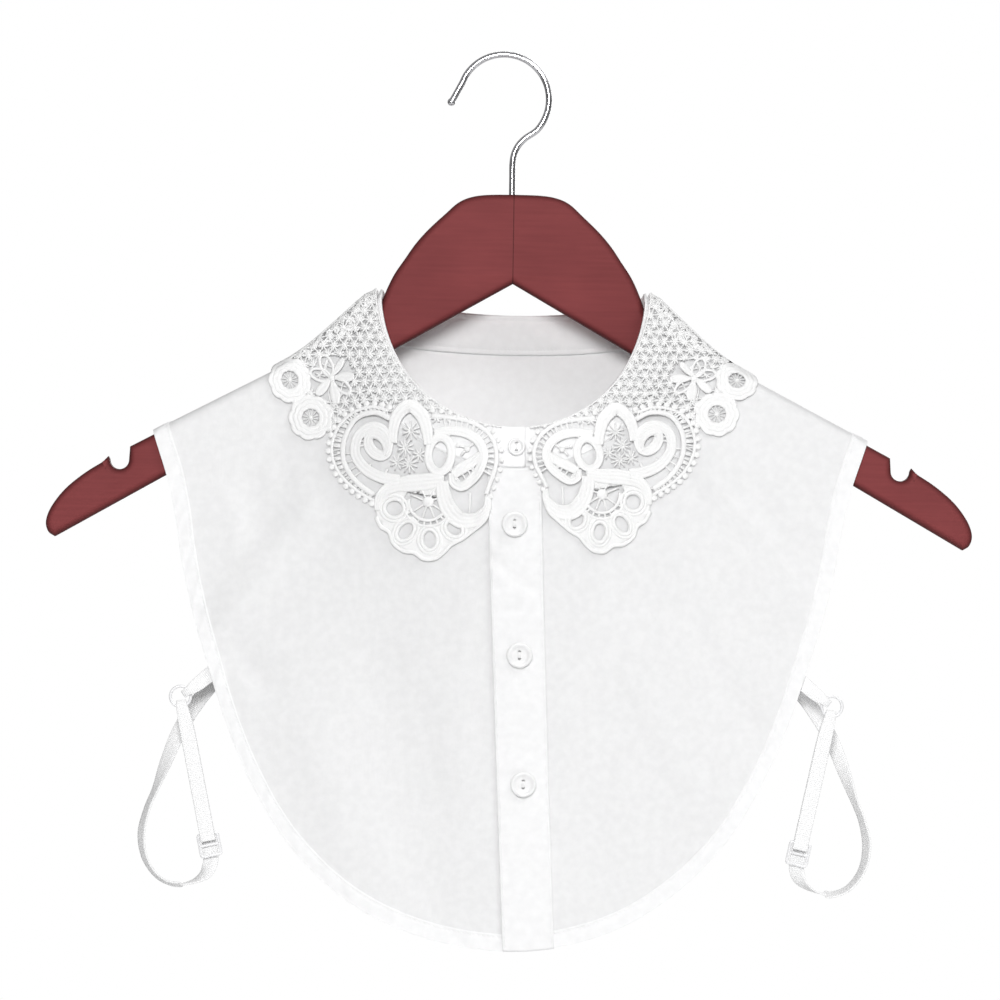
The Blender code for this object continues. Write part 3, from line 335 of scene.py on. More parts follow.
def curve_path(points, steps, closed=False):
    """Catmull-Rom points through a given route."""
    points = np.asarray(points, float)
    if closed:
        ends = np.vstack([points[-1], points, points[0], points[1]])
    else:
        ends = np.vstack([2 * points[0] - points[1], points, 2 * points[-1] - points[-2]])
    path = []
    for a, b, c, d in zip(ends, ends[1:], ends[2:], ends[3:]):
        for k in range(steps):
            u = k / steps
            path.append(0.5 * (2 * b + (c - a) * u + (2 * a - 5 * b + 4 * c - d) * u ** 2
                               + (3 * b - a - 3 * c + d) * u ** 3))
    if not closed:
        path.append(points[-1])
    return np.array(path)


def even_path(points, step, closed=False, rounded=True):
    """The same route with points about one step apart."""
    path = curve_path(points, 12, closed) if rounded else np.asarray(points, float)
    if closed:
        path = np.vstack([path, path[:1]])
    far = np.concatenate([[0.0], np.cumsum(np.linalg.norm(np.diff(path, axis=0), axis=1))])
    count = max(3, int(round(far[-1] / step)) + 1)
    at = np.linspace(0.0, far[-1], count)
    even = np.stack([np.interp(at, far, path[:, k]) for k in range(path.shape[1])], axis=1)
    return even[:-1] if closed else even


# Materials

class Paint:
    """A Principled material and short ways to wire its nodes."""

    def __init__(self, name, colour, roughness, **values):
        self.material = bpy.data.materials.new(name)
        self.material.use_nodes = True
        self.tree = self.material.node_tree
        self.shader = self.tree.nodes["Principled BSDF"]
        self.shader.inputs["Base Color"].default_value = (*colour, 1.0)
        self.shader.inputs["Roughness"].default_value = roughness
        for key, value in values.items():
            self.shader.inputs[key.replace("_", " ")].default_value = value

    def node(self, kind, **values):
        made = self.tree.nodes.new(kind)
        for key, value in values.items():
            if hasattr(made, key):
                setattr(made, key, value)
            else:
                made.inputs[key.replace("_", " ")].default_value = value
        return made

    def link(self, source, target):
        self.tree.links.new(source, target)

    def coordinates(self, output="Object", scale=(1.0, 1.0, 1.0)):
        place = self.node("ShaderNodeTexCoord")
        mapping = self.node("ShaderNodeMapping", Scale=scale)
        self.link(place.outputs[output], mapping.inputs["Vector"])
        return mapping.outputs["Vector"]

    def wave(self, vector, direction, period):
        made = self.node("ShaderNodeTexWave", bands_direction=direction, Scale=math.tau / 20.0 / period)
        self.link(vector, made.inputs["Vector"])
        return made.outputs["Fac"]

    def noise(self, vector, scale, detail=3.0):
        made = self.node("ShaderNodeTexNoise", Scale=scale, Detail=detail)
        self.link(vector, made.inputs["Vector"])
        return made.outputs["Fac"]

    def math(self, operation, first, second):
        made = self.node("ShaderNodeMath", operation=operation)
        for socket, value in zip(made.inputs, (first, second)):
            if isinstance(value, (int, float)):
                socket.default_value = value
            else:
                self.link(value, socket)
        return made.outputs[0]

    def tint(self, factor, low, high, dark, light):
        """Colour between two tones as a factor goes from low to high."""
        ramp = self.node("ShaderNodeValToRGB")
        ramp.color_ramp.elements[0].position = low
        ramp.color_ramp.elements[0].color = (*dark, 1.0)
        ramp.color_ramp.elements[1].position = high
        ramp.color_ramp.elements[1].color = (*light, 1.0)
        self.link(factor, ramp.inputs["Fac"])
        self.link(ramp.outputs["Color"], self.shader.inputs["Base Color"])

    def bump(self, height, distance, strength=1.0):
        made = self.node("ShaderNodeBump", Distance=distance, Strength=strength)
        self.link(height, made.inputs["Height"])
        self.link(made.outputs["Normal"], self.shader.inputs["Normal"])


def cotton_paint(name, level, thread=0.00042):
    """Plain-woven white cotton; level is how light its threads are, raised as painted light for the back panel and
    collar stand.
    """
    paint = Paint(name, (level, level, level), 0.86, Sheen_Weight=0.12, Sheen_Roughness=0.5)
    place = paint.coordinates()
    weave = paint.math("MULTIPLY", paint.wave(place, "X", thread), paint.wave(place, "Z", thread))
    slub = paint.noise(paint.coordinates(scale=(1.0, 1.0, 0.25)), 900.0)
    height = paint.math("ADD", weave, slub)
    paint.bump(height, 0.00006)
    tones = [(tone, tone, tone + 0.004) for tone in (level - 0.02, level + 0.02)]
    paint.tint(paint.noise(place, 260.0, 5.0), 0.35, 0.68, *tones)
    return paint.material


def lace_paint():
    """Satin stitches run across each cord: the first texture axis runs along it."""
    paint = Paint("lace cotton", (0.96, 0.96, 0.955), 0.78, Sheen_Weight=0.15, Sheen_Roughness=0.4)
    along = paint.coordinates("UV")
    threads = paint.wave(along, "X", 0.42)
    grain = paint.noise(paint.coordinates(), 1400.0)
    paint.bump(paint.math("ADD", threads, grain), 0.00009)
    paint.tint(grain, 0.3, 0.7, (0.94, 0.94, 0.94), (0.985, 0.985, 0.98))
    return paint.material


def elastic_paint():
    paint = Paint("elastic webbing", (0.88, 0.88, 0.88), 0.7, Sheen_Weight=0.1)
    along = paint.coordinates("UV")
    ribs = paint.wave(along, "X", 0.9)
    edges = paint.wave(along, "Y", 1.2)
    paint.bump(paint.math("ADD", ribs, paint.math("MULTIPLY", edges, 0.4)), 0.0001)
    paint.tint(ribs, 0.1, 0.8, (0.87, 0.87, 0.875), (0.94, 0.94, 0.94))
    return paint.material


def plastic_paint(name, colour, roughness):
    paint = Paint(name, colour, roughness, Coat_Weight=0.3, Coat_Roughness=0.2)
    cloud = paint.noise(paint.coordinates(), 420.0)
    paint.bump(cloud, 0.00002)
    tones = [tuple(value * share for value in colour) for share in (0.96, 1.02)]
    paint.tint(cloud, 0.35, 0.7, *tones)
    return paint.material


def wood_paint(name, dark, light, roughness):
    """Stained wood under a satin varnish: grain along the board, rounded edges darkened as painted shade, a middle
    joint.
    """
    paint = Paint(name, light, roughness, Coat_Weight=0.04, Coat_Roughness=0.55, Specular_IOR_Level=0.08)
    grain = paint.noise(paint.coordinates(scale=(0.05, 1.0, 1.0)), 700.0, 6.0)
    cloud = paint.noise(paint.coordinates(scale=(0.5, 1.0, 1.0)), 40.0, 3.0)
    mixed = paint.math("ADD", paint.math("MULTIPLY", grain, 0.35), paint.math("MULTIPLY", cloud, 0.65))
    paint.tint(mixed, 0.32, 0.68, dark, light)
    # Painted shade: the stain is darkened where the normal turns away from the board's front and back, so the
    # rounded edges look shaded; the darker middle joint line is the wood's own.
    face_on = paint.node("ShaderNodeSeparateXYZ")
    paint.link(paint.node("ShaderNodeNewGeometry").outputs["Normal"], face_on.inputs["Vector"])
    facing_for_painted_shade = paint.math("POWER", paint.math("ABSOLUTE", face_on.outputs["Y"], 0.0), 3.0)
    middle = paint.node("ShaderNodeSeparateXYZ")
    paint.link(paint.node("ShaderNodeTexCoord").outputs["Object"], middle.inputs["Vector"])
    off = paint.math("ABSOLUTE", paint.math("SUBTRACT", middle.outputs["X"], CENTRE_X * MM), 0.0)
    apart = paint.math("ADD", paint.math("MULTIPLY", paint.math("GREATER_THAN", off, 0.00025), 0.5), 0.5)
    painted_edge_shade_and_joint = paint.math("MULTIPLY", paint.math("ADD", paint.math("MULTIPLY", facing_for_painted_shade, 0.55), 0.45), apart)
    stain = paint.shader.inputs["Base Color"].links[0].from_socket
    stain_with_painted_shade = paint.node("ShaderNodeVectorMath", operation="SCALE")
    paint.link(stain, stain_with_painted_shade.inputs[0])
    paint.link(painted_edge_shade_and_joint, stain_with_painted_shade.inputs["Scale"])
    paint.link(stain_with_painted_shade.outputs["Vector"], paint.shader.inputs["Base Color"])
    paint.bump(grain, 0.00002)
    return paint.material


def chrome_paint():
    paint = Paint("chrome wire", (0.66, 0.66, 0.68), 0.13, Metallic=1.0)
    scuff = paint.noise(paint.coordinates(), 900.0)
    paint.bump(scuff, 0.000006)
    paint.tint(scuff, 0.3, 0.7, (0.6, 0.6, 0.62), (0.7, 0.7, 0.72))
    return paint.material


# Cloth panels

SMALL_CREASES = {
    "front": (
        # x0, z0, x1, z1, width, height
        (-141, -277, -96, -236, 3.6, 0.7),
        (-140, -278, -104, -262, 3.0, -0.5),
        (-138, -281, -122, -312, 4.0, 0.5),
        (-128, -196, -131, -236, 5.0, 0.6),
        (-112, -186, -104, -232, 6.0, -0.5),
        (-20, -262, -24, -330, 7.0, 0.5),
        (-40, -312, -30, -366, 6.0, -0.5),
        (-62, -372, -44, -410, 5.0, 0.5),
        (98, -200, 140, -246, 4.2, -0.9),
        (104, -196, 146, -228, 3.6, 0.6),
        (92, -212, 124, -252, 4.0, 0.5),
        (86, -270, 118, -318, 4.4, -0.6),
        (60, -300, 84, -338, 5.0, 0.5),
        (50, -246, 48, -300, 5.0, 0.4),
        (100, -338, 82, -372, 4.0, 0.5),
        (28, -330, 24, -392, 6.0, 0.5),
    ),
    "back": (
        (-90, -230, -70, -300, 6.0, 0.7),
        (-30, -220, -22, -320, 7.0, -0.7),
        (34, -210, 46, -300, 7.0, 0.7),
        (96, -240, 84, -310, 6.0, -0.6),
        (10, -320, 30, -390, 6.0, 0.6),
    ),
}


def hem_radius(angle):
    angles, radii = np.array(HEM, float).T
    slopes = np.gradient(radii, angles)
    k = np.clip(np.searchsorted(angles, angle) - 1, 0, len(angles) - 2)
    step = angles[k + 1] - angles[k]
    u = np.clip((angle - angles[k]) / step, 0.0, 1.0)
    share = 3 * u ** 2 - 2 * u ** 3
    leave = (u ** 3 - 2 * u ** 2 + u) * step * slopes[k]
    arrive = (u ** 3 - u ** 2) * step * slopes[k + 1]
    return (1.0 - share) * radii[k] + share * radii[k + 1] + leave + arrive


def hem_distance(face, t_of):
    low = np.full(np.shape(t_of(0.0)), HEM_NEAREST)
    high = np.full(low.shape, HEM_FARTHEST)
    for _ in range(45):
        w = 0.5 * (low + high)
        x, z = flat_place("cloth", face, t_of(w), w)
        angle = np.degrees(np.arctan2(z - HEM_MID_Z, np.abs(x)))
        inside = np.hypot(x, z - HEM_MID_Z) < hem_radius(angle)
        low = np.where(inside, w, low)
        high = np.where(inside, high, w)
    return w


FROM_HEM = (9.4, 8.6, 8.2, 7.9, 7.5, 7.0, 6.7, 6.4, 6.0, 5.0, 3.6, 2.2, 1.0, 0.4, 0.12, 0.0)
STITCH_LINE = 6.7           # hem stitching, from the edge
BAND_RING = 8.2             # where the doubled cloth of the turned-up hem begins


def panel_points(face, hand, edge_x, rays, rings, inset=0.0):
    """Grid of a panel's face from the neck seam to the hem, and how far each ring is from the hem."""
    near = np.geomspace(0.0001, 0.08, 26)
    shares = np.concatenate([[0.0], near, np.linspace(near[-1], 1.0, rays)[1:]])
    s = SURFACES["cloth", face]

    def t_of(w):
        z = s["top"] - s["drop"] - w
        radius = s["half"] + s["run"] * w
        last = np.arccos(np.clip(hand * edge_x(z) / radius, -1.0, 1.0))
        return RIDGE_START + (last - RIDGE_START) * shares

    reach = hem_distance(face, t_of) - inset
    plain = reach - FROM_HEM[0] - 1.2 - NECK_START
    distances = [NECK_START + plain * share for share in np.linspace(0.0, 1.0, rings)]
    distances += [reach - gap for gap in FROM_HEM]
    columns = []
    for w in distances:
        t = np.array([t_of(value)[row] for row, value in enumerate(w)])
        columns.append(surface("cloth", face, hand, t, w))
    from_hem = np.stack([reach - w for w in distances], axis=1)
    return np.stack(columns, axis=1), from_hem


def pucker(points, from_hem, seed):
    """Uneven slanting puckers that the hem's stitching draws into the band."""
    hem = points[:, -1]
    far = np.concatenate([[0.0], np.cumsum(np.linalg.norm(np.diff(hem, axis=0), axis=1))])
    draw = np.random.default_rng(seed)
    height = np.zeros(from_hem.shape)
    slant = 0.8 * (from_hem - STITCH_LINE)
    for wave, tall in ((3.1, 0.035), (7.3, 0.08), (12.7, 0.13), (21.0, 0.13)):
        phase = draw.uniform(0.0, math.tau)
        drift = draw.uniform(0.0, math.tau)
        swing = 1.6 * np.sin(far / (2.7 * wave) + drift)
        height += tall * np.sin(math.tau * (far[:, None] + slant) / wave + phase + swing[:, None])
    inside = smooth((from_hem + 0.5) / 2.0) * smooth((BAND + 3.0 - from_hem) / 4.0)
    return height * inside


def panel_piece(name, face, hand_grids, paint, doubled, seed):
    """Thin cloth on the solid's form, its hem turned up, pressed and stitched."""
    points, from_hem = hand_grids
    normal = outward(points, face)
    small = creases(SMALL_CREASES[face], points[..., 0], points[..., 2])
    inland = smooth((from_hem - 2.0) / 14.0) * smooth((np.abs(points[..., 1]) - RIDGE_WIDE) / 3.0)
    raised = BAND_RISE * smooth((BAND + 0.25 - from_hem) / 0.5)
    groove = 0.22 * np.exp(-((from_hem - STITCH_LINE) / 0.45) ** 2)
    lift = small * inland + raised - groove + pucker(points, from_hem, seed)
    outer = points + lift[..., None] * normal
    under = CLOTH + 0.55 * smooth((BAND + 0.25 - from_hem) / 0.5) + raised
    inner = outer - under[..., None] * normal
    vertices, faces = wall(keep_side(outer, face), keep_side(inner, face))
    rows, cols = points.shape[:2]
    turned_up = np.arange(cols - 1) >= cols - len(FROM_HEM) + FROM_HEM.index(BAND_RING)
    slots = np.ones(len(faces), int)
    slots[:2 * (rows - 1) * (cols - 1)] = np.tile(turned_up, 2 * (rows - 1))
    piece = new_object(name, vertices, faces, [paint, doubled], slots=slots)
    line = len(points[0]) - len(FROM_HEM) + FROM_HEM.index(STITCH_LINE)
    row = stitches(name + "_hem_stitches", outer[7:, line], normal[7:, line], doubled)
    return piece, row


def build_fronts(paint, doubled):
    pieces = []
    for name, hand, lap, seed in (("front_viewer_left", -1, -PLACKET_HALF + 3.0, 11),
                                  ("front_viewer_right", 1, -PLACKET_HALF + 3.5, 12)):
        grids = panel_points("front", hand, lambda z, lap=lap: placket_mid(z) + lap, 170, 74)
        cloth, sewing = panel_piece(name + "_cloth", "front", grids, paint, doubled, seed)
        for item in (cloth, sewing):
            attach(item, "root")
        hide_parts(name)
        pieces.append((cloth, sewing))
    return pieces


def build_back(paint, doubled):
    left = panel_points("back", -1, lambda z: 0.0 * z, 110, 66, 1.5)
    right = panel_points("back", 1, lambda z: 0.0 * z, 110, 66, 1.5)
    whole = [np.concatenate([a, b[-2::-1]], axis=0) for a, b in zip(left, right)]
    cloth, sewing = panel_piece("back_panel_cloth", "back", whole, paint, doubled, 13)
    for item in (cloth, sewing):
        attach(item, "root")
    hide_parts("back_panel")
    return cloth, sewing


PLACKET_WRINKLES = (
    # x0, z0, x1, z1, width, height
    (-9, -243, 12, -258, 2.6, -0.55),
    (-8, -248, 8, -262, 3.0, 0.5),
    (-10, -236, 2, -240, 3.0, 0.35),
    (-8, -266, 10, -264, 2.4, -0.35),
    (-6, -300, 10, -310, 4.0, 0.3),
    (-2, -330, 12, -336, 3.4, -0.3),
    (0, -372, 14, -384, 5.0, 0.3),
)


def build_placket(paint):
    """Folded strip with pressed edges over the fronts' lap."""
    across = PLACKET_HALF * np.array([-1, -0.992, -0.965, -0.9, -0.8, -0.6, -0.35, -0.1, 0.15, 0.4,
                                      0.62, 0.8, 0.9, 0.965, 0.992, 1])
    top = PLACKET_TOP_Z - 0.3
    down = np.linspace(top - NECK_START, PLACKET_FOOT_Z, 190)
    z = np.repeat(down[None, :], len(across), axis=0)
    x = placket_mid(z) + across[:, None]
    hem = HEM_MID_Z - np.sqrt(HEM[0][1] ** 2 - x ** 2)
    z = top + (z - top) * (hem - top) / (PLACKET_FOOT_Z - top)
    t, w = ray_of("cloth", "front", x, z)
    t = np.where(x < 0, np.pi - t, t)
    points = surface("cloth", "front", 1, t, w)
    normal = outward(points, "front")
    share = np.abs(across[:, None]) / PLACKET_HALF
    rounding = 0.5 * PLACKET_THICK * (1.0 - np.sqrt(np.clip(1.0 - ((share - 0.96) / 0.04).clip(0, 1) ** 2, 0, 1)))
    wrinkle = creases(PLACKET_WRINKLES, x, z) * smooth((1.0 - share) / 0.12)
    outer = points + (PLACKET_LIFT + 0.5 * PLACKET_THICK + wrinkle - rounding)[..., None] * normal
    inner = points + (PLACKET_LIFT - 0.5 * PLACKET_THICK + rounding)[..., None] * normal
    vertices, faces = wall(outer, inner)
    cloth = new_object("placket_cloth", vertices, faces, [paint])
    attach(cloth, "root")
    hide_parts("placket")
    rows = []
    for column, side in ((3, "left"), (-4, "right")):
        row = stitches(f"placket_stitches_{side}", outer[column, 3:], normal[column, 3:], paint, 2.2, 0.13)
        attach(row, "root")
        rows.append(row)
    return cloth, rows


# Collar stand

STAND_FOOT = -0.05          # the stand reaches under the panels' edge
STAND_TOP_Z = -178.5
TUCK_IN = 2.0
LAP_TOP_X = -5.0
LAP_UNDER_X = -9.0
LAP_TUCK = 2.1
STAND_WRINKLES = (
    # angle round the neck in degrees from the back's middle, share of height, slant, width, height
    (-34, 0.62, 1.4, 2.6, 0.55), (-20, 0.45, -1.0, 2.4, -0.5), (-11, 0.6, 0.8, 2.8, 0.45),
    (8, 0.5, -1.2, 2.6, 0.55), (17, 0.66, -0.8, 2.2, -0.5), (30, 0.5, 1.0, 2.8, 0.5),
)


def stand_stations():
    """(face, hand, angle, tuck) round the neck from the top lap to the tucked end."""
    half = SURFACES["cloth", "front"]["half"]
    side = 0.06
    stations = [("front", -1, t, 0.0) for t in np.linspace(math.acos(LAP_TOP_X / half), side, 70)]
    stations += [("back", -1, t, 0.0) for t in np.linspace(side, math.pi / 2, 60)]
    stations += [("back", 1, t, 0.0) for t in np.linspace(math.pi / 2, side, 60)[1:]]
    for t in np.linspace(side, math.acos(LAP_UNDER_X / half), 76):
        stations.append(("front", 1, t, LAP_TUCK * float(smooth((t - 1.15) / 0.25))))
    return stations


def stand_point(face, hand, t, share):
    """Outer point of the stand between the neck seam (0) and the fold (1)."""
    foot = surface("cloth", face, hand, t, 0.0)
    s = SURFACES["leaf", face]
    x, z = flat_place("leaf", face, t, 0.0)
    down = max(math.sin(t), 0.0)
    below = s["drop"] * down * s["run"] + s["fall"] * s["half"] * (1.0 - abs(math.cos(t)))
    depth = float(ridge_round(np.array(below))) + s["depth"] * down ** NECK_POWER
    out = abs(math.cos(t))
    x = lean(hand * (x - TUCK_IN * out))
    head = np.array([x, s["side"] * depth, z - TUCK_IN * out], float)
    return foot + (head - foot) * share


def build_stand(paint):
    stations = stand_stations()
    shares = np.concatenate([[STAND_FOOT, 0.02, 0.06, 0.09, 0.13], np.linspace(0.18, 0.8, 10),
                             [0.84, 0.87, 0.9, 0.93, 0.97, 0.99, 1.0]])
    points = np.array([[stand_point(f, h, t, u) for u in shares] for f, h, t, _ in stations])
    inward = np.cross(np.gradient(points, axis=0), np.gradient(points, axis=1))
    inward /= np.linalg.norm(inward, axis=-1, keepdims=True)
    if np.sum(inward * (points.mean(axis=(0, 1)) - points)) < 0:
        inward = -inward
    tuck = np.array([row[3] for row in stations])[:, None]
    turn = np.array([math.degrees(h * (math.pi / 2 - t)) if f == "back" else 180.0 for f, h, t, _ in stations])
    wrinkle = np.zeros(points.shape[:2])
    for angle, level, slant, width, height in STAND_WRINKLES:
        off = turn[:, None] - angle - 9.0 * slant * (shares[None, :] - level)
        wrinkle += height * np.exp(-(off / width) ** 2 - ((shares[None, :] - level) / 0.3) ** 2)
    seam = (0.45 * np.exp(-((shares - 0.09) / 0.03) ** 2) + 0.3 * np.exp(-((shares - 0.87) / 0.03) ** 2))[None, :]
    outer = points + tuck[..., None] * inward
    inner = outer + (STAND + 1.2 * wrinkle - seam)[..., None] * inward
    vertices, faces = wall(outer, inner)
    stand = new_object("collar_stand_cloth", vertices, faces, [paint])
    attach(stand, "root")
    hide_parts("collar_stand")
    rows = []
    for column, label in ((2, "low"), (4, "high")):
        row = stitches(f"stand_stitches_{label}", inner[:, column], inward[:, column], paint, 1.9, 0.09)
        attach(row, "root")
        rows.append(row)
    return stand, rows


# Lace: cords, bars and bobbles drawn flat, then laid on the leaf

LEAF_EDGE = (
    # x, z, bulge: each row's arc runs to the next row, bulging outward by that much
    (5.2, -179.0, 0.0), (5.2, -186.0, 0.6), (5.8, -198.6, 1.6), (12.5, -206.2, 2.2),
    (13.5, -217.0, 2.6), (20.0, -226.6, 2.4), (32.0, -235.4, 3.6), (48.5, -236.8, 3.0),
    (61.0, -227.6, 2.4), (66.3, -214.0, 6.8), (88.6, -180.8, 5.6), (106.6, -169.0, 5.4),
    (113.6, -155.0, 0.0),
)
LEAF_REACH = 62.0
LEAF_START = 0.0002
RIDGE_CORD = 0.0002         # ray angle of the cord along the shoulder
BOTTOM = -0.5               # rise of the lace's underside
CORD_TOP = 0.15             # rise at a cord's edges, before its crown

SATIN_CORDS = (
    # name, width or widths, ridges, route
    ("crescent", (2.6, 4.4, 6.6, 8.0, 8.0, 7.0, 6.0), 4,
     ((13.6, -209.6), (14.4, -215.2), (19.6, -220.4), (26.8, -220.6), (32.0, -215.4), (34.4, -208.4),
      (34.8, -203.0))),
    ("bar", (5.6, 7.6, 7.8, 6.6, 4.6, 3.4), 4,
     ((34.0, -202.4), (42.0, -203.2), (51.0, -203.9), (58.6, -205.6), (63.6, -210.0), (64.8, -217.0))),
    ("loop", (3.6, 4.4, 4.6, 4.6, 4.6, 4.4, 4.2, 4.0), 3,
     ((38.0, -181.2), (30.4, -180.6), (23.2, -181.6), (17.6, -185.2), (15.0, -190.8), (16.4, -196.8),
      (20.4, -202.0), (25.4, -205.4), (29.4, -203.8), (29.8, -199.6))),
    ("tongue", (4.0, 5.2, 4.6, 2.4), 3, ((29.6, -200.6), (25.6, -197.8), (20.6, -195.0), (16.4, -191.2))),
    ("arch", (4.4, 5.4, 6.4, 6.4, 6.0, 5.2, 4.4), 3,
     ((40.6, -187.0), (41.2, -180.6), (43.6, -173.4), (49.2, -169.0), (54.6, -172.6), (57.2, -179.0),
      (57.8, -185.6))),
    ("spiral", (5.6, 5.4, 5.2, 5.0, 4.8, 4.6, 4.2, 3.0), 3,
     ((55.0, -202.6), (63.6, -201.0), (71.2, -196.8), (75.6, -190.0), (74.8, -182.6), (70.0, -178.4),
      (64.6, -178.2), (60.4, -181.6), (59.4, -187.0), (61.4, -191.0))),
)
THIN_CORDS = (
    # name, width, route
    ("front", 2.0, ((39.0, -173.4), (32.0, -174.2), (24.0, -175.6), (16.6, -178.6), (11.2, -183.6),
                    (9.0, -190.0), (9.6, -197.0), (12.2, -203.4), (14.6, -209.0))),
    ("inner", 2.4, ((58.8, -174.4), (66.0, -171.4), (74.8, -173.2), (80.2, -180.4), (81.8, -188.6),
                    (80.0, -196.4), (74.4, -203.8), (66.8, -209.4))),
    ("outer", 1.5, ((59.4, -171.0), (67.8, -168.8), (77.0, -170.9), (83.6, -176.4), (86.9, -184.8),
                    (86.2, -193.6), (81.2, -201.9), (74.0, -208.0), (66.8, -212.2))),
)
LADDERS = (
    # cord, cord, rungs
    ("inner", "outer", 30),
)
RINGS = (
    # x, z, half width, half height, turn, band width
    (35.4, -191.4, 5.4, 7.7, 8, 3.9), (64.9, -185.9, 3.1, 5.2, -40, 3.6), (64.9, -186.1, 5.0, 6.4, -40, 2.8),
)
FAN = (41.6, -212.4)
FAN_BOBBLE = 2.7
FAN_ARC = 8.8               # radius of the cord round the fan
FAN_OPEN = 11.3             # radius of the opening that the rungs cross
FAN_TURNS = (-172.0, 8.0)
EYELETS = (
    # angle and distance from the fan's middle, half width, half length
    (-134.0, 17.4, 2.2, 2.9), (-93.0, 18.0, 2.2, 3.5), (-54.0, 17.4, 2.1, 3.8), (-12.0, 16.0, 3.0, 3.2),
)
FAN_GROUND = (
    (13.4, -216.0), (15.2, -220.6), (19.8, -225.0), (25.4, -229.6), (30.6, -232.6), (34.0, -236.4),
    (38.2, -239.4), (43.4, -239.6), (47.4, -236.8), (52.6, -236.0), (57.4, -232.4), (59.4, -227.2),
    (63.2, -224.6), (65.6, -220.0), (65.8, -211.0), (62.0, -206.4), (54.0, -204.4), (44.0, -203.6),
    (36.6, -204.6), (34.8, -211.0), (31.0, -217.4), (24.0, -221.4), (17.0, -219.6),
)
FLOWERS = (
    # x, z, radius, radius of the eye, lobes
    (107.4, -155.6, 9.6, 3.9, 9), (97.6, -172.8, 10.0, 4.0, 9),
)
PINWHEEL = (87.0, -154.6)
PINWHEEL_REACH = 10.2       # the star ground is left out nearer than this
PETALS = (
    # degrees, reach, width, solid or an open loop
    (180, 11.2, 4.8, True), (126, 10.4, 3.4, True), (66, 11.0, 5.6, False), (14, 10.6, 5.2, False),
    (-44, 10.8, 4.6, True), (-100, 12.0, 5.2, True), (-142, 11.4, 4.6, False),
)
JOINING_BARS = (
    # x and z of both ends
    (22.0, -208.4, 22.4, -218.4), (60.4, -197.0, 62.8, -201.4), (68.4, -194.6, 71.0, -199.0),
    (19.6, -186.6, 22.0, -188.4), (23.4, -189.6, 25.6, -192.0), (23.4, -188.2, 27.0, -187.4),
)
STARS = (
    # x, z, spokes, reach
    (48.8, -180.4, 10, 4.4), (51.8, -187.8, 10, 4.2), (50.2, -195.2, 10, 4.2), (45.2, -191.2, 8, 3.4),
    (56.0, -194.2, 8, 3.6), (87.6, -167.2, 6, 7.0),
)
BOBBLES = (
    # x, z, radius
    (22.6, -189.0, 1.5), (27.0, -187.4, 1.0),
)
MESH_PITCH = 4.9
MESH_BAR = 0.8
BACK_PITCH = 6.8
CORNER_WIDE = 6.0           # the lace turns softly where the neck meets the shoulder
CORNER_DROP = 3.0
BRIDE = 0.8                 # width of the short bars that join neighbouring cords
HAND_SHIFT = (1.5, 2.4)     # the lower motifs lie this much apart on the two sides, x and z

BACK_EDGE = (
    # x, z, bulge
    (0.0, -185.6, 3.4), (17.0, -185.2, 3.4), (34.0, -184.0, 3.4), (51.0, -181.6, 3.4),
    (68.0, -177.6, 3.4), (84.0, -171.8, 3.2), (98.0, -163.6, 3.0), (110.0, -153.0, 0.0),
)
BACK_GAPS = (
    # x, z, turn
    (8.5, -181.4, 0), (25.5, -180.8, 4), (42.5, -179.0, 8), (59.4, -176.0, 12),
    (75.4, -171.0, 18), (90.2, -163.8, 26), (17.0, -172.6, 0), (34.0, -171.4, 6),
    (51.0, -169.0, 10), (67.4, -165.0, 16), (82.4, -159.0, 24),
)


def arc_points(start, end, bulge, count):
    start, end = np.array(start, float), np.array(end, float)
    along = end - start
    side = np.array([-along[1], along[0]]) / np.hypot(*along)
    return [start + along * u - side * bulge * 4 * u * (1 - u) for u in np.arange(count) / count]


def fold_line(face, x_from, count, w=0.0):
    s = SURFACES["leaf", face]
    angles = np.linspace(math.acos(x_from / s["half"]), LEAF_START, count)
    x, z = flat_place("leaf", face, angles, w + 0.0 * angles)
    return np.stack([x, z], axis=1)


def ridge_line(count, t=LEAF_START):
    w = np.linspace(0.0, LEAF_REACH, count)
    x, z = flat_place("leaf", "front", np.full(count, t), w)
    return np.stack([x, z], axis=1)


def ridge_level(x):
    """Height of the leaf's ridge over the shoulder, outward of the neck."""
    s = SURFACES["leaf", "front"]
    w = max(abs(x) - s["half"], 0.0) / s["run"]
    return s["top"] - s["fall"] * w + ridge_lift("leaf", w)


def leaf_place(face, hand, x, z, rise):
    """Front-view design points laid on the leaf, raised along its normal."""
    t, w = ray_of("leaf", face, x, z)
    w = np.maximum(w, 0.0)
    t = np.where(x < 0, np.pi - t, t)

    def at(dt, dw):
        return surface("leaf", face, hand, t + dt, w + dw)

    point = at(0.0, 0.0)
    inward = np.where(t < 0.5 * math.pi, 0.004, -0.004)
    normal = np.cross(at(inward, 0.0) - point, at(0.0, 0.4) - point)
    normal /= np.maximum(np.linalg.norm(normal, axis=-1, keepdims=True), 1e-12)
    side = SURFACES["leaf", face]["side"]
    flip = np.sign(normal[:, 1:2] * side)
    normal = normal * np.where(flip == 0, 1.0, flip)
    return keep_side(point + (rise[:, None] - 0.5 * LACE) * normal, face)


def inside(polygon, points):
    """Which points lie inside a closed outline."""
    points = np.atleast_2d(points)
    x, z = points[:, 0], points[:, 1]
    hit = np.zeros(len(points), bool)
    for (x0, z0), (x1, z1) in zip(polygon, np.roll(polygon, -1, axis=0)):
        crosses = (z0 > z) != (z1 > z)
        if z0 != z1:
            hit ^= crosses & (x < (x1 - x0) * (z - z0) / (z1 - z0) + x0)
    return hit


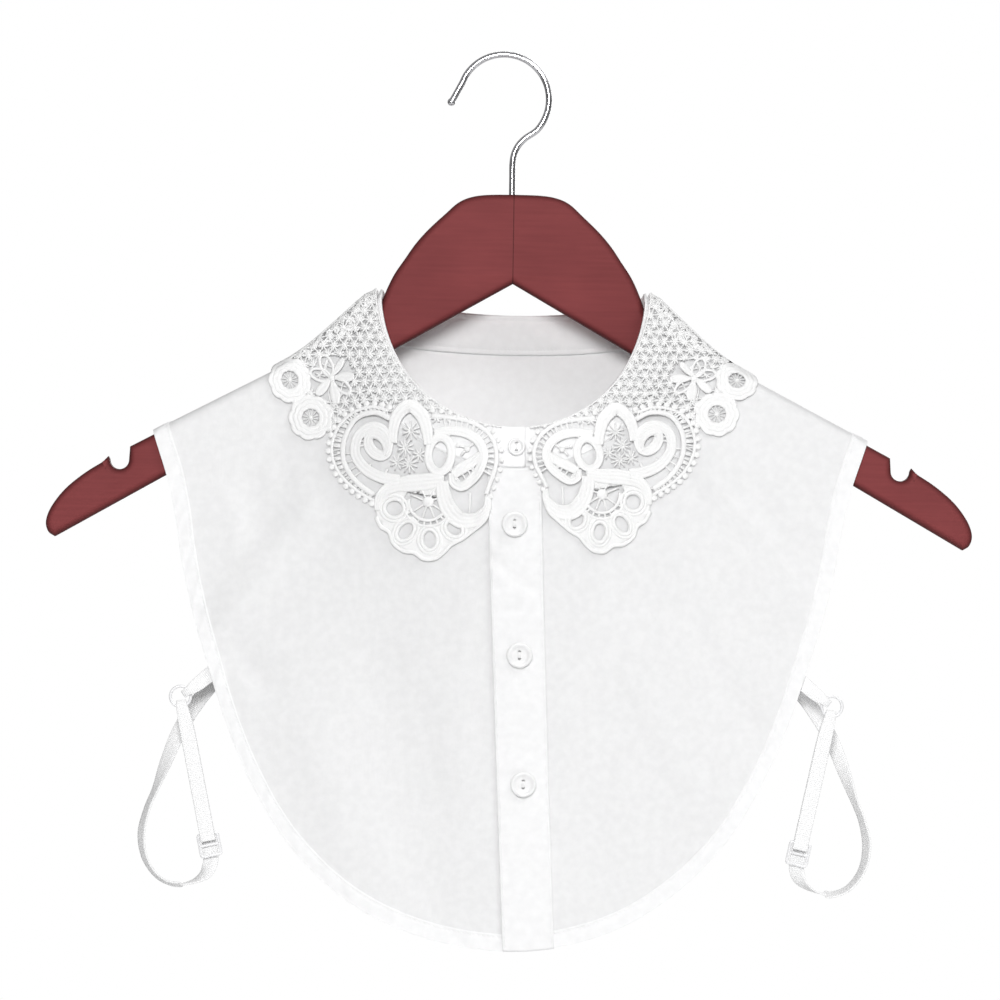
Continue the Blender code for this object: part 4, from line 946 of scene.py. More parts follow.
class FlatLace:
    """Bands, bars and domes in a flat front view: x outward, z up, and a rise toward the viewer."""

    def __init__(self):
        self.points = []
        self.uv = []
        self.faces = []
        self.count = 0
        self.cords = {}

    def add(self, points, uv, faces):
        self.points.append(points)
        self.uv.append(uv)
        self.faces += [tuple(k + self.count for k in face) for face in faces]
        self.count += len(points)

    def band(self, route, width, crown=0.4, ridges=0, closed=False, step=0.8, across=4, top=CORD_TOP,
             rounded=True, name=None, bottom=BOTTOM):
        """A cord with a crowned, ridged top and a flat underside."""
        path = even_path(route, step, closed, rounded)
        if name:
            self.cords[name] = path
        if closed:
            ahead = np.roll(path, -1, axis=0) - np.roll(path, 1, axis=0)
        else:
            ahead = np.gradient(path, axis=0)
        ahead /= np.maximum(np.linalg.norm(ahead, axis=1, keepdims=True), 1e-9)
        side = np.stack([-ahead[:, 1], ahead[:, 0]], axis=1)
        far = np.concatenate([[0.0], np.cumsum(np.linalg.norm(np.diff(path, axis=0), axis=1))])
        if np.isscalar(width):
            half = np.full(len(path), 0.5 * width)
        else:
            half = 0.5 * np.interp(far / far[-1], np.linspace(0.0, 1.0, len(width)), width)
        across = max(across, 5 * ridges)
        u = np.linspace(-1.0, 1.0, across + 1)
        arch = np.sqrt(1.0 - 0.9 * u ** 2)
        if ridges:
            arch = 0.62 * arch + 0.38 * np.abs(np.sin(0.5 * math.pi * ridges * (u + 1.0)))
        levels = np.concatenate([top + crown * arch, [bottom, bottom]])
        offset = np.concatenate([u, [0.86, -0.86]])
        rows, cols = len(path), len(levels)
        flat = path[:, None, :] + side[:, None, :] * (half[:, None] * offset[None, :])[..., None]
        rise = np.repeat(levels[None, :], rows, axis=0)
        points = np.concatenate([flat, rise[..., None]], axis=-1).reshape(-1, 3)
        uv = np.stack([np.repeat(far[:, None], cols, axis=1), half[:, None] * offset[None, :]], axis=-1)
        index = np.arange(rows * cols).reshape(rows, cols)
        ahead_index = np.roll(index, -1, axis=0) if closed else index[1:]
        here = index if closed else index[:-1]
        around = np.roll(np.arange(cols), -1)
        faces = np.stack([here, here[:, around], ahead_index[:, around], ahead_index], axis=-1)
        faces = faces.reshape(-1, 4).tolist()
        if not closed:
            faces.append(index[0, ::-1].tolist())
            faces.append(index[-1].tolist())
        self.add(points, uv.reshape(-1, 2), faces)
        return path

    def bar(self, start, end, width=BRIDE, crown=0.3, sag=0.0):
        start, end = np.asarray(start, float), np.asarray(end, float)
        reach = np.linalg.norm(end - start)
        if reach < 0.3:
            return
        over = min(ridge_level(x) - z for x, z in (start, end)) < RIDGE_HIGH
        count = max(2, int(reach / (0.5 if over else 2.2)) + 1)
        share = np.linspace(0.0, 1.0, count)[:, None]
        self.band(start + (end - start) * share, width, crown, step=reach / (count - 1), across=3,
                  top=0.0, rounded=False, bottom=-0.2)

    def dome(self, x, z, radius, height=None, spokes=10):
        height = 0.75 * radius if height is None else height
        rings = ((1.0, BOTTOM + 0.1), (1.0, 0.1), (0.86, 0.1 + 0.5 * height), (0.5, 0.1 + 0.88 * height))
        turns = np.arange(spokes) * math.tau / spokes
        points = [(x + radius * share * math.cos(a), z + radius * share * math.sin(a), rise)
                  for share, rise in rings for a in turns]
        points.append((x, z, 0.1 + height))
        faces = []
        for ring in range(len(rings) - 1):
            for k in range(spokes):
                a, b = ring * spokes + k, ring * spokes + (k + 1) % spokes
                faces.append((a, b, b + spokes, a + spokes))
        last = (len(rings) - 1) * spokes
        faces += [(last + k, last + (k + 1) % spokes, len(points) - 1) for k in range(spokes)]
        faces.append(tuple(range(spokes - 1, -1, -1)))
        points = np.array(points)
        self.add(points, points[:, :2].copy(), faces)

    def picots(self, path, offset, spacing, radius, closed=False):
        """A row of small bobbles along one side of a cord."""
        even = even_path(path, spacing, closed, rounded=False)
        ahead = np.gradient(even, axis=0)
        ahead /= np.maximum(np.linalg.norm(ahead, axis=1, keepdims=True), 1e-9)
        side = np.stack([-ahead[:, 1], ahead[:, 0]], axis=1)
        for x, z in even + offset * side:
            self.dome(x, z, radius, 0.5, 8)

    def ladder(self, first, second, rungs, width=0.75):
        for u in (np.arange(rungs) + 0.5) / rungs:
            ends = [path[int(u * (len(path) - 1))] for path in (self.cords[first], self.cords[second])]
            self.bar(*ends, width)

    def brides(self, names, low, high, spacing):
        """Short bars from each cord to the nearest other cord."""
        for name in names:
            path = self.cords[name]
            others = np.concatenate([self.cords[other] for other in names if other != name])
            for place in even_path(path, spacing, rounded=False)[1:-1]:
                far = np.linalg.norm(others - place, axis=1)
                if low < far.min() < high:
                    self.bar(place, others[far.argmin()])

    def flower(self, x, z, radius, eye, lobes):
        """Scalloped satin rings about an eye with crossing threads."""
        a = np.linspace(0.0, math.tau, 12 * lobes, endpoint=False)
        for share, wide, swing, top in ((0.9, 0.3, 0.075, 0.05), (0.71, 0.26, 0.05, 0.22), (0.53, 0.24, 0.02, 0.3)):
            r = radius * (share + swing * np.abs(np.cos(0.5 * lobes * a)) - 0.5 * swing)
            ring = np.stack([x + r * np.cos(a), z + r * np.sin(a)], axis=1)
            self.band(ring, wide * radius, 0.34, closed=True, step=0.7, top=top, rounded=False)
        for k in range(6):
            b = math.pi * k / 6 + 0.2
            reach = np.array([math.cos(b), math.sin(b)]) * (eye + 0.4)
            self.bar((x - reach[0], z - reach[1]), (x + reach[0], z + reach[1]), 0.42)
        self.dome(x, z, 0.95, 0.7)

    def oval(self, x, z, wide, high, turn, width, ridges=2, name=None):
        turn = math.radians(turn)
        a = np.linspace(0.0, math.tau, 40, endpoint=False)
        u, v = wide * np.cos(a), high * np.sin(a)
        ring = np.stack([x + u * math.cos(turn) - v * math.sin(turn),
                         z + u * math.sin(turn) + v * math.cos(turn)], axis=1)
        self.band(ring, width, 0.4, ridges, closed=True, name=name)

    def star(self, x, z, spokes, reach, width=0.7):
        for k in range(spokes):
            a = math.tau * k / spokes + 0.3
            self.bar((x, z), (x + reach * math.cos(a), z + reach * math.sin(a)), width)

    def kept_bar(self, keep, start, end, width, crown):
        """A bar between two places, cut short where it would leave its zone."""
        shares = np.linspace(0.0, 1.0, 9)[:, None]
        inner = keep(start + (end - start) * shares)
        if inner.any():
            first = int(inner.argmax())
            last = first + int(np.cumprod(inner[first:]).sum()) - 1
            ends = start + (end - start) * shares[[first, last]]
            self.bar(ends[0], ends[1], width, crown)

    def mesh(self, keep, low, high, pitch=MESH_PITCH):
        """Six-spoked stars on a triangular grid, kept where keep says so."""
        rise = pitch * math.sqrt(3.0) / 2.0
        draw = np.random.default_rng(5)
        rows = range(int(math.floor(low[1] / rise)), int(math.ceil(high[1] / rise)) + 1)
        for row in rows:
            begin = math.floor(low[0] / pitch)
            for col in range(begin, int(math.ceil(high[0] / pitch)) + 1):
                here = np.array([pitch * (col + 0.5 * (row % 2)), rise * row])
                for k in range(3):
                    a = math.tau * k / 6
                    there = here + pitch * np.array([math.cos(a), math.sin(a)])
                    self.kept_bar(keep, here, there, 0.7 * MESH_BAR, 0.1)
                twist = draw.uniform(0.0, math.tau)
                aside = draw.uniform(-0.35, 0.35, 2)
                if not keep(here[None, :]).all():
                    continue
                for k in range(8):
                    a = twist + math.tau * k / 8
                    tip = here + aside + 0.47 * pitch * np.array([math.cos(a), math.sin(a)])
                    self.kept_bar(keep, here + aside, tip, MESH_BAR, 0.3)
                self.dome(*(here + aside), 0.8, 0.45, 8)

    def plate(self, outline, holes, top=0.1, step=3.0):
        """A flat ground with holes, cut into small faces so that it can bend."""
        curve = bpy.data.curves.new("ground", "CURVE")
        curve.dimensions = "2D"
        curve.fill_mode = "BOTH"
        curve.extrude = 1.0
        for loop in (outline, *holes):
            spline = curve.splines.new("POLY")
            spline.points.add(len(loop) - 1)
            for place, (x, z) in zip(spline.points, loop):
                place.co = (float(x), float(z), 0.0, 1.0)
            spline.use_cyclic_u = True
        item = bpy.data.objects.new("ground", curve)
        bpy.context.scene.collection.objects.link(item)
        bpy.context.view_layer.update()
        mesh = bpy.data.meshes.new_from_object(item.evaluated_get(bpy.context.evaluated_depsgraph_get()))
        bpy.data.objects.remove(item, do_unlink=True)
        bm = bmesh.new()
        bm.from_mesh(mesh)
        bmesh.ops.remove_doubles(bm, verts=bm.verts, dist=1e-3)
        low = np.min(outline, axis=0)
        high = np.max(outline, axis=0)
        for axis in (0, 1):
            direction = (1 - axis, axis, 0)
            for level in np.arange(low[axis] + 0.37, high[axis], step):
                geometry = bm.verts[:] + bm.edges[:] + bm.faces[:]
                bmesh.ops.bisect_plane(bm, geom=geometry, dist=1e-4, plane_no=direction,
                                       plane_co=(level * direction[0], level * direction[1], 0))
        bmesh.ops.triangulate(bm, faces=bm.faces)
        bm.verts.index_update()
        points = np.array([(v.co.x, v.co.y, top if v.co.z > 0 else BOTTOM) for v in bm.verts])
        faces = [[v.index for v in face.verts] for face in bm.faces]
        bm.free()
        bpy.data.meshes.remove(mesh)
        self.add(points, points[:, :2].copy(), faces)

    def fan(self):
        """A bobble with spokes, a ladder arc and four eyelets in a scalloped ground."""
        x, z = FAN

        def polar(degrees, radius):
            turn = math.radians(degrees)
            return np.array([x + radius * math.cos(turn), z + radius * math.sin(turn)])

        begin, end = FAN_TURNS
        opening = [polar(a, FAN_OPEN) for a in np.linspace(begin, end, 40)]
        opening += [np.array([x + FAN_OPEN - 1.6, z + 4.6]), np.array([x - FAN_OPEN + 3.4, z + 5.0])]
        holes = [opening]
        for degrees, far, wide, long in EYELETS:
            mid = polar(degrees, far)
            turn = math.radians(degrees - 90.0)
            a = np.linspace(0.0, math.tau, 28, endpoint=False)
            for grow, top, thread in ((1.5, 0.2, 1.5), (3.1, 0.14, 1.4)):
                u, v = (wide + grow) * np.cos(a), (long + grow) * np.sin(a)
                ring = np.stack([mid[0] + u * math.cos(turn) - v * math.sin(turn),
                                 mid[1] + u * math.sin(turn) + v * math.cos(turn)], axis=1)
                self.band(ring, thread, 0.3, closed=True, top=top, rounded=False)
            u, v = (wide + 0.5) * np.cos(a), (long + 0.5) * np.sin(a)
            holes.append(np.stack([mid[0] + u * math.cos(turn) - v * math.sin(turn),
                                   mid[1] + u * math.sin(turn) + v * math.cos(turn)], axis=1))
        self.plate(FAN_GROUND, holes)
        arc = [polar(a, FAN_ARC) for a in np.linspace(begin, end, 30)]
        self.band(arc, 1.4, 0.35, rounded=False)
        rim = [polar(a, FAN_OPEN + 0.3) for a in np.linspace(begin, end, 30)]
        self.band(rim, 1.3, 0.4, rounded=False)
        for a in np.linspace(begin + 8.0, end - 6.0, 11):
            self.bar(polar(a, FAN_ARC), polar(a, FAN_OPEN + 0.4), 1.0)
        for a in (-148.0, -112.0, -72.0, -34.0, 22.0, 62.0, 118.0, 160.0):
            self.bar(polar(a, 1.0), polar(a, FAN_ARC), 0.9)
        self.dome(x, z, FAN_BOBBLE, 1.0, 16)
        edge = np.array(FAN_GROUND[:14])
        self.band(edge, 1.7, 0.35, top=0.15)

    def lay(self, name, face, hand, paint, shift=None):
        points = np.concatenate(self.points)
        x, z, rise = points.T
        corner = SURFACES["leaf", face]
        near = np.exp(-((np.abs(x) - corner["half"]) ** 2 + (z - corner["top"]) ** 2) / CORNER_WIDE ** 2)
        z = z - CORNER_DROP * near
        if shift is not None:
            _, w = ray_of("leaf", face, x, z)
            share = smooth((w - 8.0) / 34.0) * smooth((SURFACES["leaf", face]["top"] - 22.0 - z) / 40.0)
            x = x + hand * shift[0] * share
            z = z + hand * shift[1] * share
        return new_object(name, leaf_place(face, hand, x, z, rise), self.faces, [paint],
                          np.concatenate(self.uv))


def draw_front_leaf():
    lace = FlatLace()
    for name, width, ridges, route in SATIN_CORDS:
        lace.band(route, width, 0.42, ridges, name=name)
    for name, width, route in THIN_CORDS:
        lace.band(route, width, 0.34, name=name)
    lace.band(fold_line("front", 7.0, 60, 0.4), 0.7, 0.1, name="fold", rounded=False)
    lace.picots(lace.cords["fold"], 0.0, 1.9, 0.62)
    lace.band(ridge_line(40, RIDGE_CORD), 0.9, 0.1, name="ridge", rounded=False)
    for first, second, rungs in LADDERS:
        lace.ladder(first, second, rungs)
    for k, row in enumerate(RINGS):
        lace.oval(*row, name=f"ring_{k}")
    for row in FLOWERS:
        lace.flower(*row)
    x, z = PINWHEEL
    for k, (degrees, reach, wide, solid) in enumerate(PETALS):
        out = np.array([math.cos(math.radians(degrees)), math.sin(math.radians(degrees))])
        if solid:
            route = [np.array([x, z]) + out * reach * u for u in (0.12, 0.4, 0.7, 1.0)]
            widths = [wide * share for share in (0.3, 0.62, 0.9, 1.0, 0.92, 0.4)]
            lace.band(route, widths, 0.5, 2, name=f"petal_{k}")
        else:
            middle = np.array([x, z]) + out * 0.55 * reach
            lace.oval(*middle, 0.45 * reach, 0.5 * wide, degrees, 1.3, 0, name=f"petal_{k}")
            lace.star(*middle, 4, 0.5 * wide, 0.6)
    lace.dome(x, z, 1.7, 0.8)
    for x0, z0, x1, z1 in JOINING_BARS:
        lace.bar((x0, z0), (x1, z1), 1.1)
    for row in STARS:
        lace.star(*row)
    for row in BOBBLES:
        lace.dome(*row)
    lace.picots(lace.cords["outer"], 1.7, 3.6, 1.5)
    lace.picots(lace.cords["front"], -2.3, 4.1, 1.25)
    lace.fan()
    names = [name for name in lace.cords if name not in ("fold", "ridge")]
    lace.brides(names, 2.4, 7.4, 2.9)
    zone = np.array(list(fold_line("front", 22.0, 40, 0.3))
                    + list(ridge_line(30, RIDGE_CORD)[1:])
                    + [(106.0, -169.0), (93.0, -178.0), (87.6, -180.6), (83.6, -173.2), (76.8, -168.4),
                       (66.0, -166.4), (57.4, -169.4), (50.0, -165.0), (43.8, -168.6), (41.4, -178.0),
                       (31.0, -176.6), (24.0, -176.4)])

    def keep(points):
        ok = inside(zone, points)
        for x, z, radius in [(*PINWHEEL, PINWHEEL_REACH)] + [(row[0], row[1], row[2] - 1.5) for row in FLOWERS]:
            ok &= np.hypot(points[:, 0] - x, points[:, 1] - z) > radius
        return ok

    lace.mesh(keep, (20.0, -184.0), (116.0, -112.0))
    return lace


def draw_back_leaf():
    lace = FlatLace()
    rim = []
    for (x0, z0, bulge), (x1, z1, _) in zip(BACK_EDGE, BACK_EDGE[1:]):
        rim += arc_points((x0, z0), (x1, z1), bulge, 10)
    rim = np.array(rim)
    for sign in (1, -1):
        mirror = np.array([sign, 1.0])
        lace.band(rim * mirror + (0.0, 1.0), 2.3, 0.4, 2, rounded=False, name=f"rim_{sign}")
        lace.picots((rim * mirror)[:: sign], 0.6, 2.7, 0.8)
        lace.band(fold_line("back", 0.0, 70, 0.9) * mirror, 1.7, 0.2, rounded=False)
        ridge = ridge_line(40, RIDGE_CORD)
        lace.band(ridge * mirror, 0.8, 0.1, rounded=False)
        for k, (x, z, turn) in enumerate(BACK_GAPS):
            lace.oval(sign * x, z, 3.6, 4.2, sign * turn, 2.2, name=f"eyelet_{sign}_{k}")
    fold = fold_line("back", 0.0, 60, 0.5)
    ridge = ridge_line(30, RIDGE_CORD)[1:]
    half = np.vstack([fold, ridge, rim[::-1] + (0.0, 3.0)])

    def keep(points):
        ok = inside(half, np.abs(points) * (1.0, -1.0))
        for x, z, _ in BACK_GAPS:
            ok &= np.hypot(np.abs(points[:, 0]) - x, points[:, 1] - z) > 3.4
        return ok

    lace.mesh(keep, (-116.0, -186.0), (116.0, -112.0), BACK_PITCH)
    lace.brides([name for name in lace.cords], 1.0, 5.0, 3.4)
    return lace


def build_lace(paint):
    pieces = []
    for name, hand in (("left", -1), ("right", 1)):
        leaf = draw_front_leaf().lay(f"lace_leaf_{name}_cords", "front", hand, paint, HAND_SHIFT)
        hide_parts(f"lace_leaf_{name}")
        pieces.append(leaf)
    back = draw_back_leaf().lay("lace_leaf_back_cords", "back", 1, paint)
    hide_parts("lace_leaf_back")
    pieces.append(back)
    for piece in pieces:
        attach(piece, "root")
    return pieces


# Buttons

BUTTONS = (
    # name, x, z, radius
    ("button_stand", 0.3, -188.0, 4.2),
    ("button_top", 0.0, -223.8, 6.2),
    ("button_middle", 3.4, -286.5, 6.2),
    ("button_bottom", 6.3, -348.6, 6.2),
)
BUTTON_CLEAR = 0.4
SEWING_HOLE = 0.8
SEWING_APART = 1.6
BUTTON_PROFILE = (
    # share of the radius, height
    (0.0, 1.42), (0.3, 1.42), (0.5, 1.46), (0.62, 1.62), (0.7, 1.95), (0.76, 2.2), (0.83, 2.32),
    (0.9, 2.26), (0.96, 2.0), (0.99, 1.65), (1.0, 1.3), (0.985, 0.9), (0.95, 0.5), (0.88, 0.16),
    (0.78, 0.0), (0.0, 0.0),
)


def turned(profile, steps):
    """Vertices and faces of a solid turned about Z from (radius, height) rows, axis first and last."""
    points = [(0.0, 0.0, profile[0][1])]
    for radius, height in profile[1:-1]:
        for k in range(steps):
            a = math.tau * k / steps
            points.append((radius * math.cos(a), radius * math.sin(a), height))
    points.append((0.0, 0.0, profile[-1][1]))
    faces = [(0, 1 + k, 1 + (k + 1) % steps) for k in range(steps)]
    for ring in range(len(profile) - 3):
        for k in range(steps):
            a, b = 1 + ring * steps + k, 1 + ring * steps + (k + 1) % steps
            faces.append((a, a + steps, b + steps, b))
    last = len(points) - 1
    low = last - steps
    faces += [(low + (k + 1) % steps, low + k, last) for k in range(steps)]
    return points, faces


def cut_out(item, cutters):
    """Cut the cutters' shapes out of an object and keep the finished mesh."""
    for cutter in cutters:
        made = item.modifiers.new("cut", "BOOLEAN")
        made.object = cutter
        made.solver = "EXACT"
    graph = bpy.context.evaluated_depsgraph_get()
    mesh = bpy.data.meshes.new_from_object(item.evaluated_get(graph))
    item.modifiers.clear()
    item.data = mesh
    for cutter in cutters:
        bpy.data.objects.remove(cutter, do_unlink=True)
    mesh.shade_smooth()
    mesh.set_sharp_from_angle(angle=math.radians(35.0))


def place_on(item, point, normal):
    """Move an object made at the hanger's middle so that its Z lies along a normal."""
    turn = Vector(normal).to_track_quat("Z", "Y").to_matrix().to_4x4()
    there = Matrix.Translation(Vector((np.asarray(point) + (CENTRE_X, 0.0, 0.0)) * MM))
    item.data.transform(there @ turn @ Matrix.Translation((-CENTRE_X * MM, 0.0, 0.0)))


def cloth_seat(x, z):
    step = np.array([-1.0, 0.0, 1.0])
    grid_x, grid_z = np.meshgrid(x + step, z - step, indexing="ij")
    t, w = ray_of("cloth", "front", grid_x, grid_z)
    t = np.where(grid_x < 0, np.pi - t, t)
    points = surface("cloth", "front", 1, t, w)
    return points[1, 1], outward(points, "front")[1, 1]


def stand_seat(x, z):
    t = math.acos(x / SURFACES["cloth", "front"]["half"])
    share = (PLACKET_TOP_Z - z) / (PLACKET_TOP_Z - STAND_TOP_Z)
    point = stand_point("front", 1, t, share)
    slope = stand_point("front", 1, t, share + 0.2) - point
    normal = np.array([0.0, -slope[2], slope[1]]) / np.hypot(slope[1], slope[2])
    return np.array([lean(x), point[1], z]), normal


def tube(name, path, radius, paint, closed=False, sides=14, squash=None):
    """Round wire along a path; squash gives half sizes in the path's plane and along Y."""
    path = np.asarray(path, float)
    if closed:
        ahead = np.roll(path, -1, axis=0) - np.roll(path, 1, axis=0)
    else:
        ahead = np.gradient(path, axis=0)
    ahead /= np.linalg.norm(ahead, axis=1, keepdims=True)
    depth = np.array([0.0, 1.0, 0.0])
    side = np.cross(ahead, depth)
    side /= np.linalg.norm(side, axis=1, keepdims=True)
    wide, deep = squash or (radius, radius)
    a = np.arange(sides) * math.tau / sides
    ring = side[:, None, :] * (wide * np.cos(a))[None, :, None] + depth * (deep * np.sin(a))[None, :, None]
    points = (path[:, None, :] + ring).reshape(-1, 3)
    rows = len(path)
    index = np.arange(rows * sides).reshape(rows, sides)
    here = index if closed else index[:-1]
    there = np.roll(index, -1, axis=0) if closed else index[1:]
    around = np.roll(np.arange(sides), -1)
    faces = np.stack([here, here[:, around], there[:, around], there], axis=-1).reshape(-1, 4).tolist()
    if not closed:
        faces.append(index[0, ::-1].tolist())
        faces.append(index[-1].tolist())
    return new_object(name, points, faces, [paint], smooth_angle=40.0)


def build_buttons(paint, thread_paint):
    for name, x, z, radius in BUTTONS:
        if name == "button_stand":
            point, normal = stand_seat(x, z)
            lift = BUTTON_CLEAR
        else:
            point, normal = cloth_seat(x, z)
            lift = PLACKET_LIFT + 0.5 * PLACKET_THICK + BUTTON_CLEAR + 0.1
        points, faces = turned([(share * radius, height) for share, height in BUTTON_PROFILE], 48)
        button = new_object(name + "_turned", points, faces, [paint])
        holes = []
        for sign in (-1, 1):
            profile = [(0.0, 5.0), (SEWING_HOLE, 5.0), (SEWING_HOLE, -3.0), (0.0, -3.0)]
            hole_points, hole_faces = turned(profile, 16)
            hole_points = [(px, py + sign * SEWING_APART, pz) for px, py, pz in hole_points]
            holes.append(new_object("sewing_hole", hole_points, hole_faces, [paint]))
        cut_out(button, holes)
        place_on(button, point + lift * normal, normal)
        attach(button, "root")
        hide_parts(name)
        top = 1.6
        route = curve_path([(0, -SEWING_APART, -1.0), (0, -SEWING_APART, 0.8), (0, -0.7, top), (0, 0.7, top),
                            (0, SEWING_APART, 0.8), (0, SEWING_APART, -1.0)], 6)
        for k, aside in enumerate((-0.42, 0.0, 0.42)):
            path = route + (aside, 0.0, 0.0)
            swapped = path[:, [0, 2, 1]]
            strand = tube(f"{name}_thread_{k}", swapped, 0.28, thread_paint, sides=8)
            places = np.empty(len(strand.data.vertices) * 3)
            strand.data.vertices.foreach_get("co", places)
            places = places.reshape(-1, 3)[:, [0, 2, 1]]
            strand.data.vertices.foreach_set("co", places.ravel())
            strand.data.flip_normals()
            place_on(strand, point + lift * normal, normal)
            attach(strand, "root")


# Side straps

RING_X = 156.4
RING_Y = -10.4
RING_Z = -310.0
RING_MEAN = 4.9
RING_WIRE = 0.7
STRAP_THICK = 0.9
SLIDER = dict(x=141.4, z=-381.0, wide=10.8, high=12.0, thick=1.2, tilt=12.0)
STRAP_ROUTE = (
    # x, y from the ring's plane, z, turn toward edge-on, width
    (141.9, -1.6, -379.2, 0, 7.2), (143.6, -1.6, -371.0, 0, 7.2), (148.6, -1.6, -347.0, 0, 7.2),
    (153.0, -1.6, -326.0, 0, 7.0), (155.2, -1.6, -316.6, 0, 5.8), (155.9, -1.3, -313.4, 0, 5.0),
    (156.1, 0.0, -312.1, 0, 4.8), (155.9, 1.3, -313.4, 0, 5.0), (155.2, 1.6, -316.6, 0, 5.8),
    (153.0, 1.6, -326.0, 0, 7.0), (148.6, 1.6, -347.0, 0, 7.2), (143.6, 1.6, -371.0, 0, 7.2),
    (141.4, 1.8, -381.5, 0, 7.2), (140.8, 2.6, -388.6, 6, 7.2), (143.4, 4.0, -395.0, 34, 7.2),
    (150.2, 5.4, -399.4, 60, 7.2), (158.8, 6.6, -400.6, 72, 7.2), (167.0, 7.8, -396.8, 72, 7.2),
    (173.0, 9.0, -388.0, 66, 7.2), (174.8, 10.0, -376.6, 60, 7.2), (172.4, 11.0, -365.0, 66, 7.2),
    (168.4, 12.2, -355.0, 64, 7.2), (163.6, 13.6, -342.0, 36, 7.2), (158.0, 15.2, -328.0, 14, 7.2),
    (151.4, 16.8, -316.6, 6, 7.2), (144.0, 19.2, -306.4, 4, 7.2), (137.6, 20.2, -300.0, 4, 7.2),
)
TAB_ROUTE = (
    # x, y from the ring's plane, z, turn, width
    (136.6, -1.0, -294.8, 0, 7.2), (142.0, -1.2, -298.9, 0, 7.2), (149.0, -1.6, -304.6, 0, 6.4),
    (152.6, -1.5, -307.2, 0, 4.4), (154.9, 0.0, -308.9, 0, 3.8), (152.6, 1.5, -307.2, 0, 4.4),
    (149.0, 1.6, -304.6, 0, 6.4), (142.0, 1.6, -298.9, 0, 7.2), (136.6, 1.5, -294.8, 0, 7.2),
)


def ribbon(name, route, hand, steps, paint):
    """Flat elastic swept along a route, with rounded edges."""
    path = curve_path(route, steps)
    centre = path[:, :3] * (hand, 1.0, 1.0)
    centre[:, 1] += RING_Y
    turn = np.radians(path[:, 3])
    tangent = np.gradient(centre, axis=0)
    tangent /= np.linalg.norm(tangent, axis=1, keepdims=True)
    depth = np.array([0.0, 1.0, 0.0])
    flat = tangent * (1.0, 0.0, 1.0)
    for k in range(1, len(flat)):
        if np.linalg.norm(flat[k]) < 0.75 or np.dot(flat[k], flat[k - 1]) < 0:
            flat[k] = flat[k - 1]
    across = np.cross(flat, depth)
    across /= np.linalg.norm(across, axis=1, keepdims=True)
    for k in range(1, len(across)):
        if np.dot(across[k], across[k - 1]) < 0:
            across[k] = -across[k]
    wide = across * np.cos(turn)[:, None] + depth * np.sin(turn)[:, None]
    wide -= tangent * np.sum(wide * tangent, axis=1, keepdims=True)
    wide /= np.linalg.norm(wide, axis=1, keepdims=True)
    thick = np.cross(tangent, wide)
    section = [(-1.0, 0.0), (-0.97, 0.7), (-0.9, 1.0), (-0.45, 0.9), (0.0, 1.0), (0.45, 0.9), (0.9, 1.0),
               (0.97, 0.7), (1.0, 0.0), (0.97, -0.7), (0.9, -1.0), (0.45, -0.9), (0.0, -1.0), (-0.45, -0.9),
               (-0.9, -1.0), (-0.97, -0.7)]
    u, v = np.array(section).T
    half = 0.5 * path[:, 4:5]
    points = centre[:, None, :] + wide[:, None, :] * (half * u[None, :])[..., None]
    points = points + thick[:, None, :] * (0.5 * STRAP_THICK * v)[None, :, None]
    far = np.concatenate([[0.0], np.cumsum(np.linalg.norm(np.diff(centre, axis=0), axis=1))])
    rows, cols = len(centre), len(section)
    uv = np.stack([np.repeat(far[:, None], cols, axis=1), half * u[None, :]], axis=-1).reshape(-1, 2)
    index = np.arange(rows * cols).reshape(rows, cols)
    around = np.roll(np.arange(cols), -1)
    faces = np.stack([index[:-1], index[:-1][:, around], index[1:][:, around], index[1:]], axis=-1)
    faces = faces.reshape(-1, 4).tolist()
    faces.append(index[0, ::-1].tolist())
    faces.append(index[-1].tolist())
    return new_object(name, points.reshape(-1, 3), faces, [paint], uv), centre, wide, thick


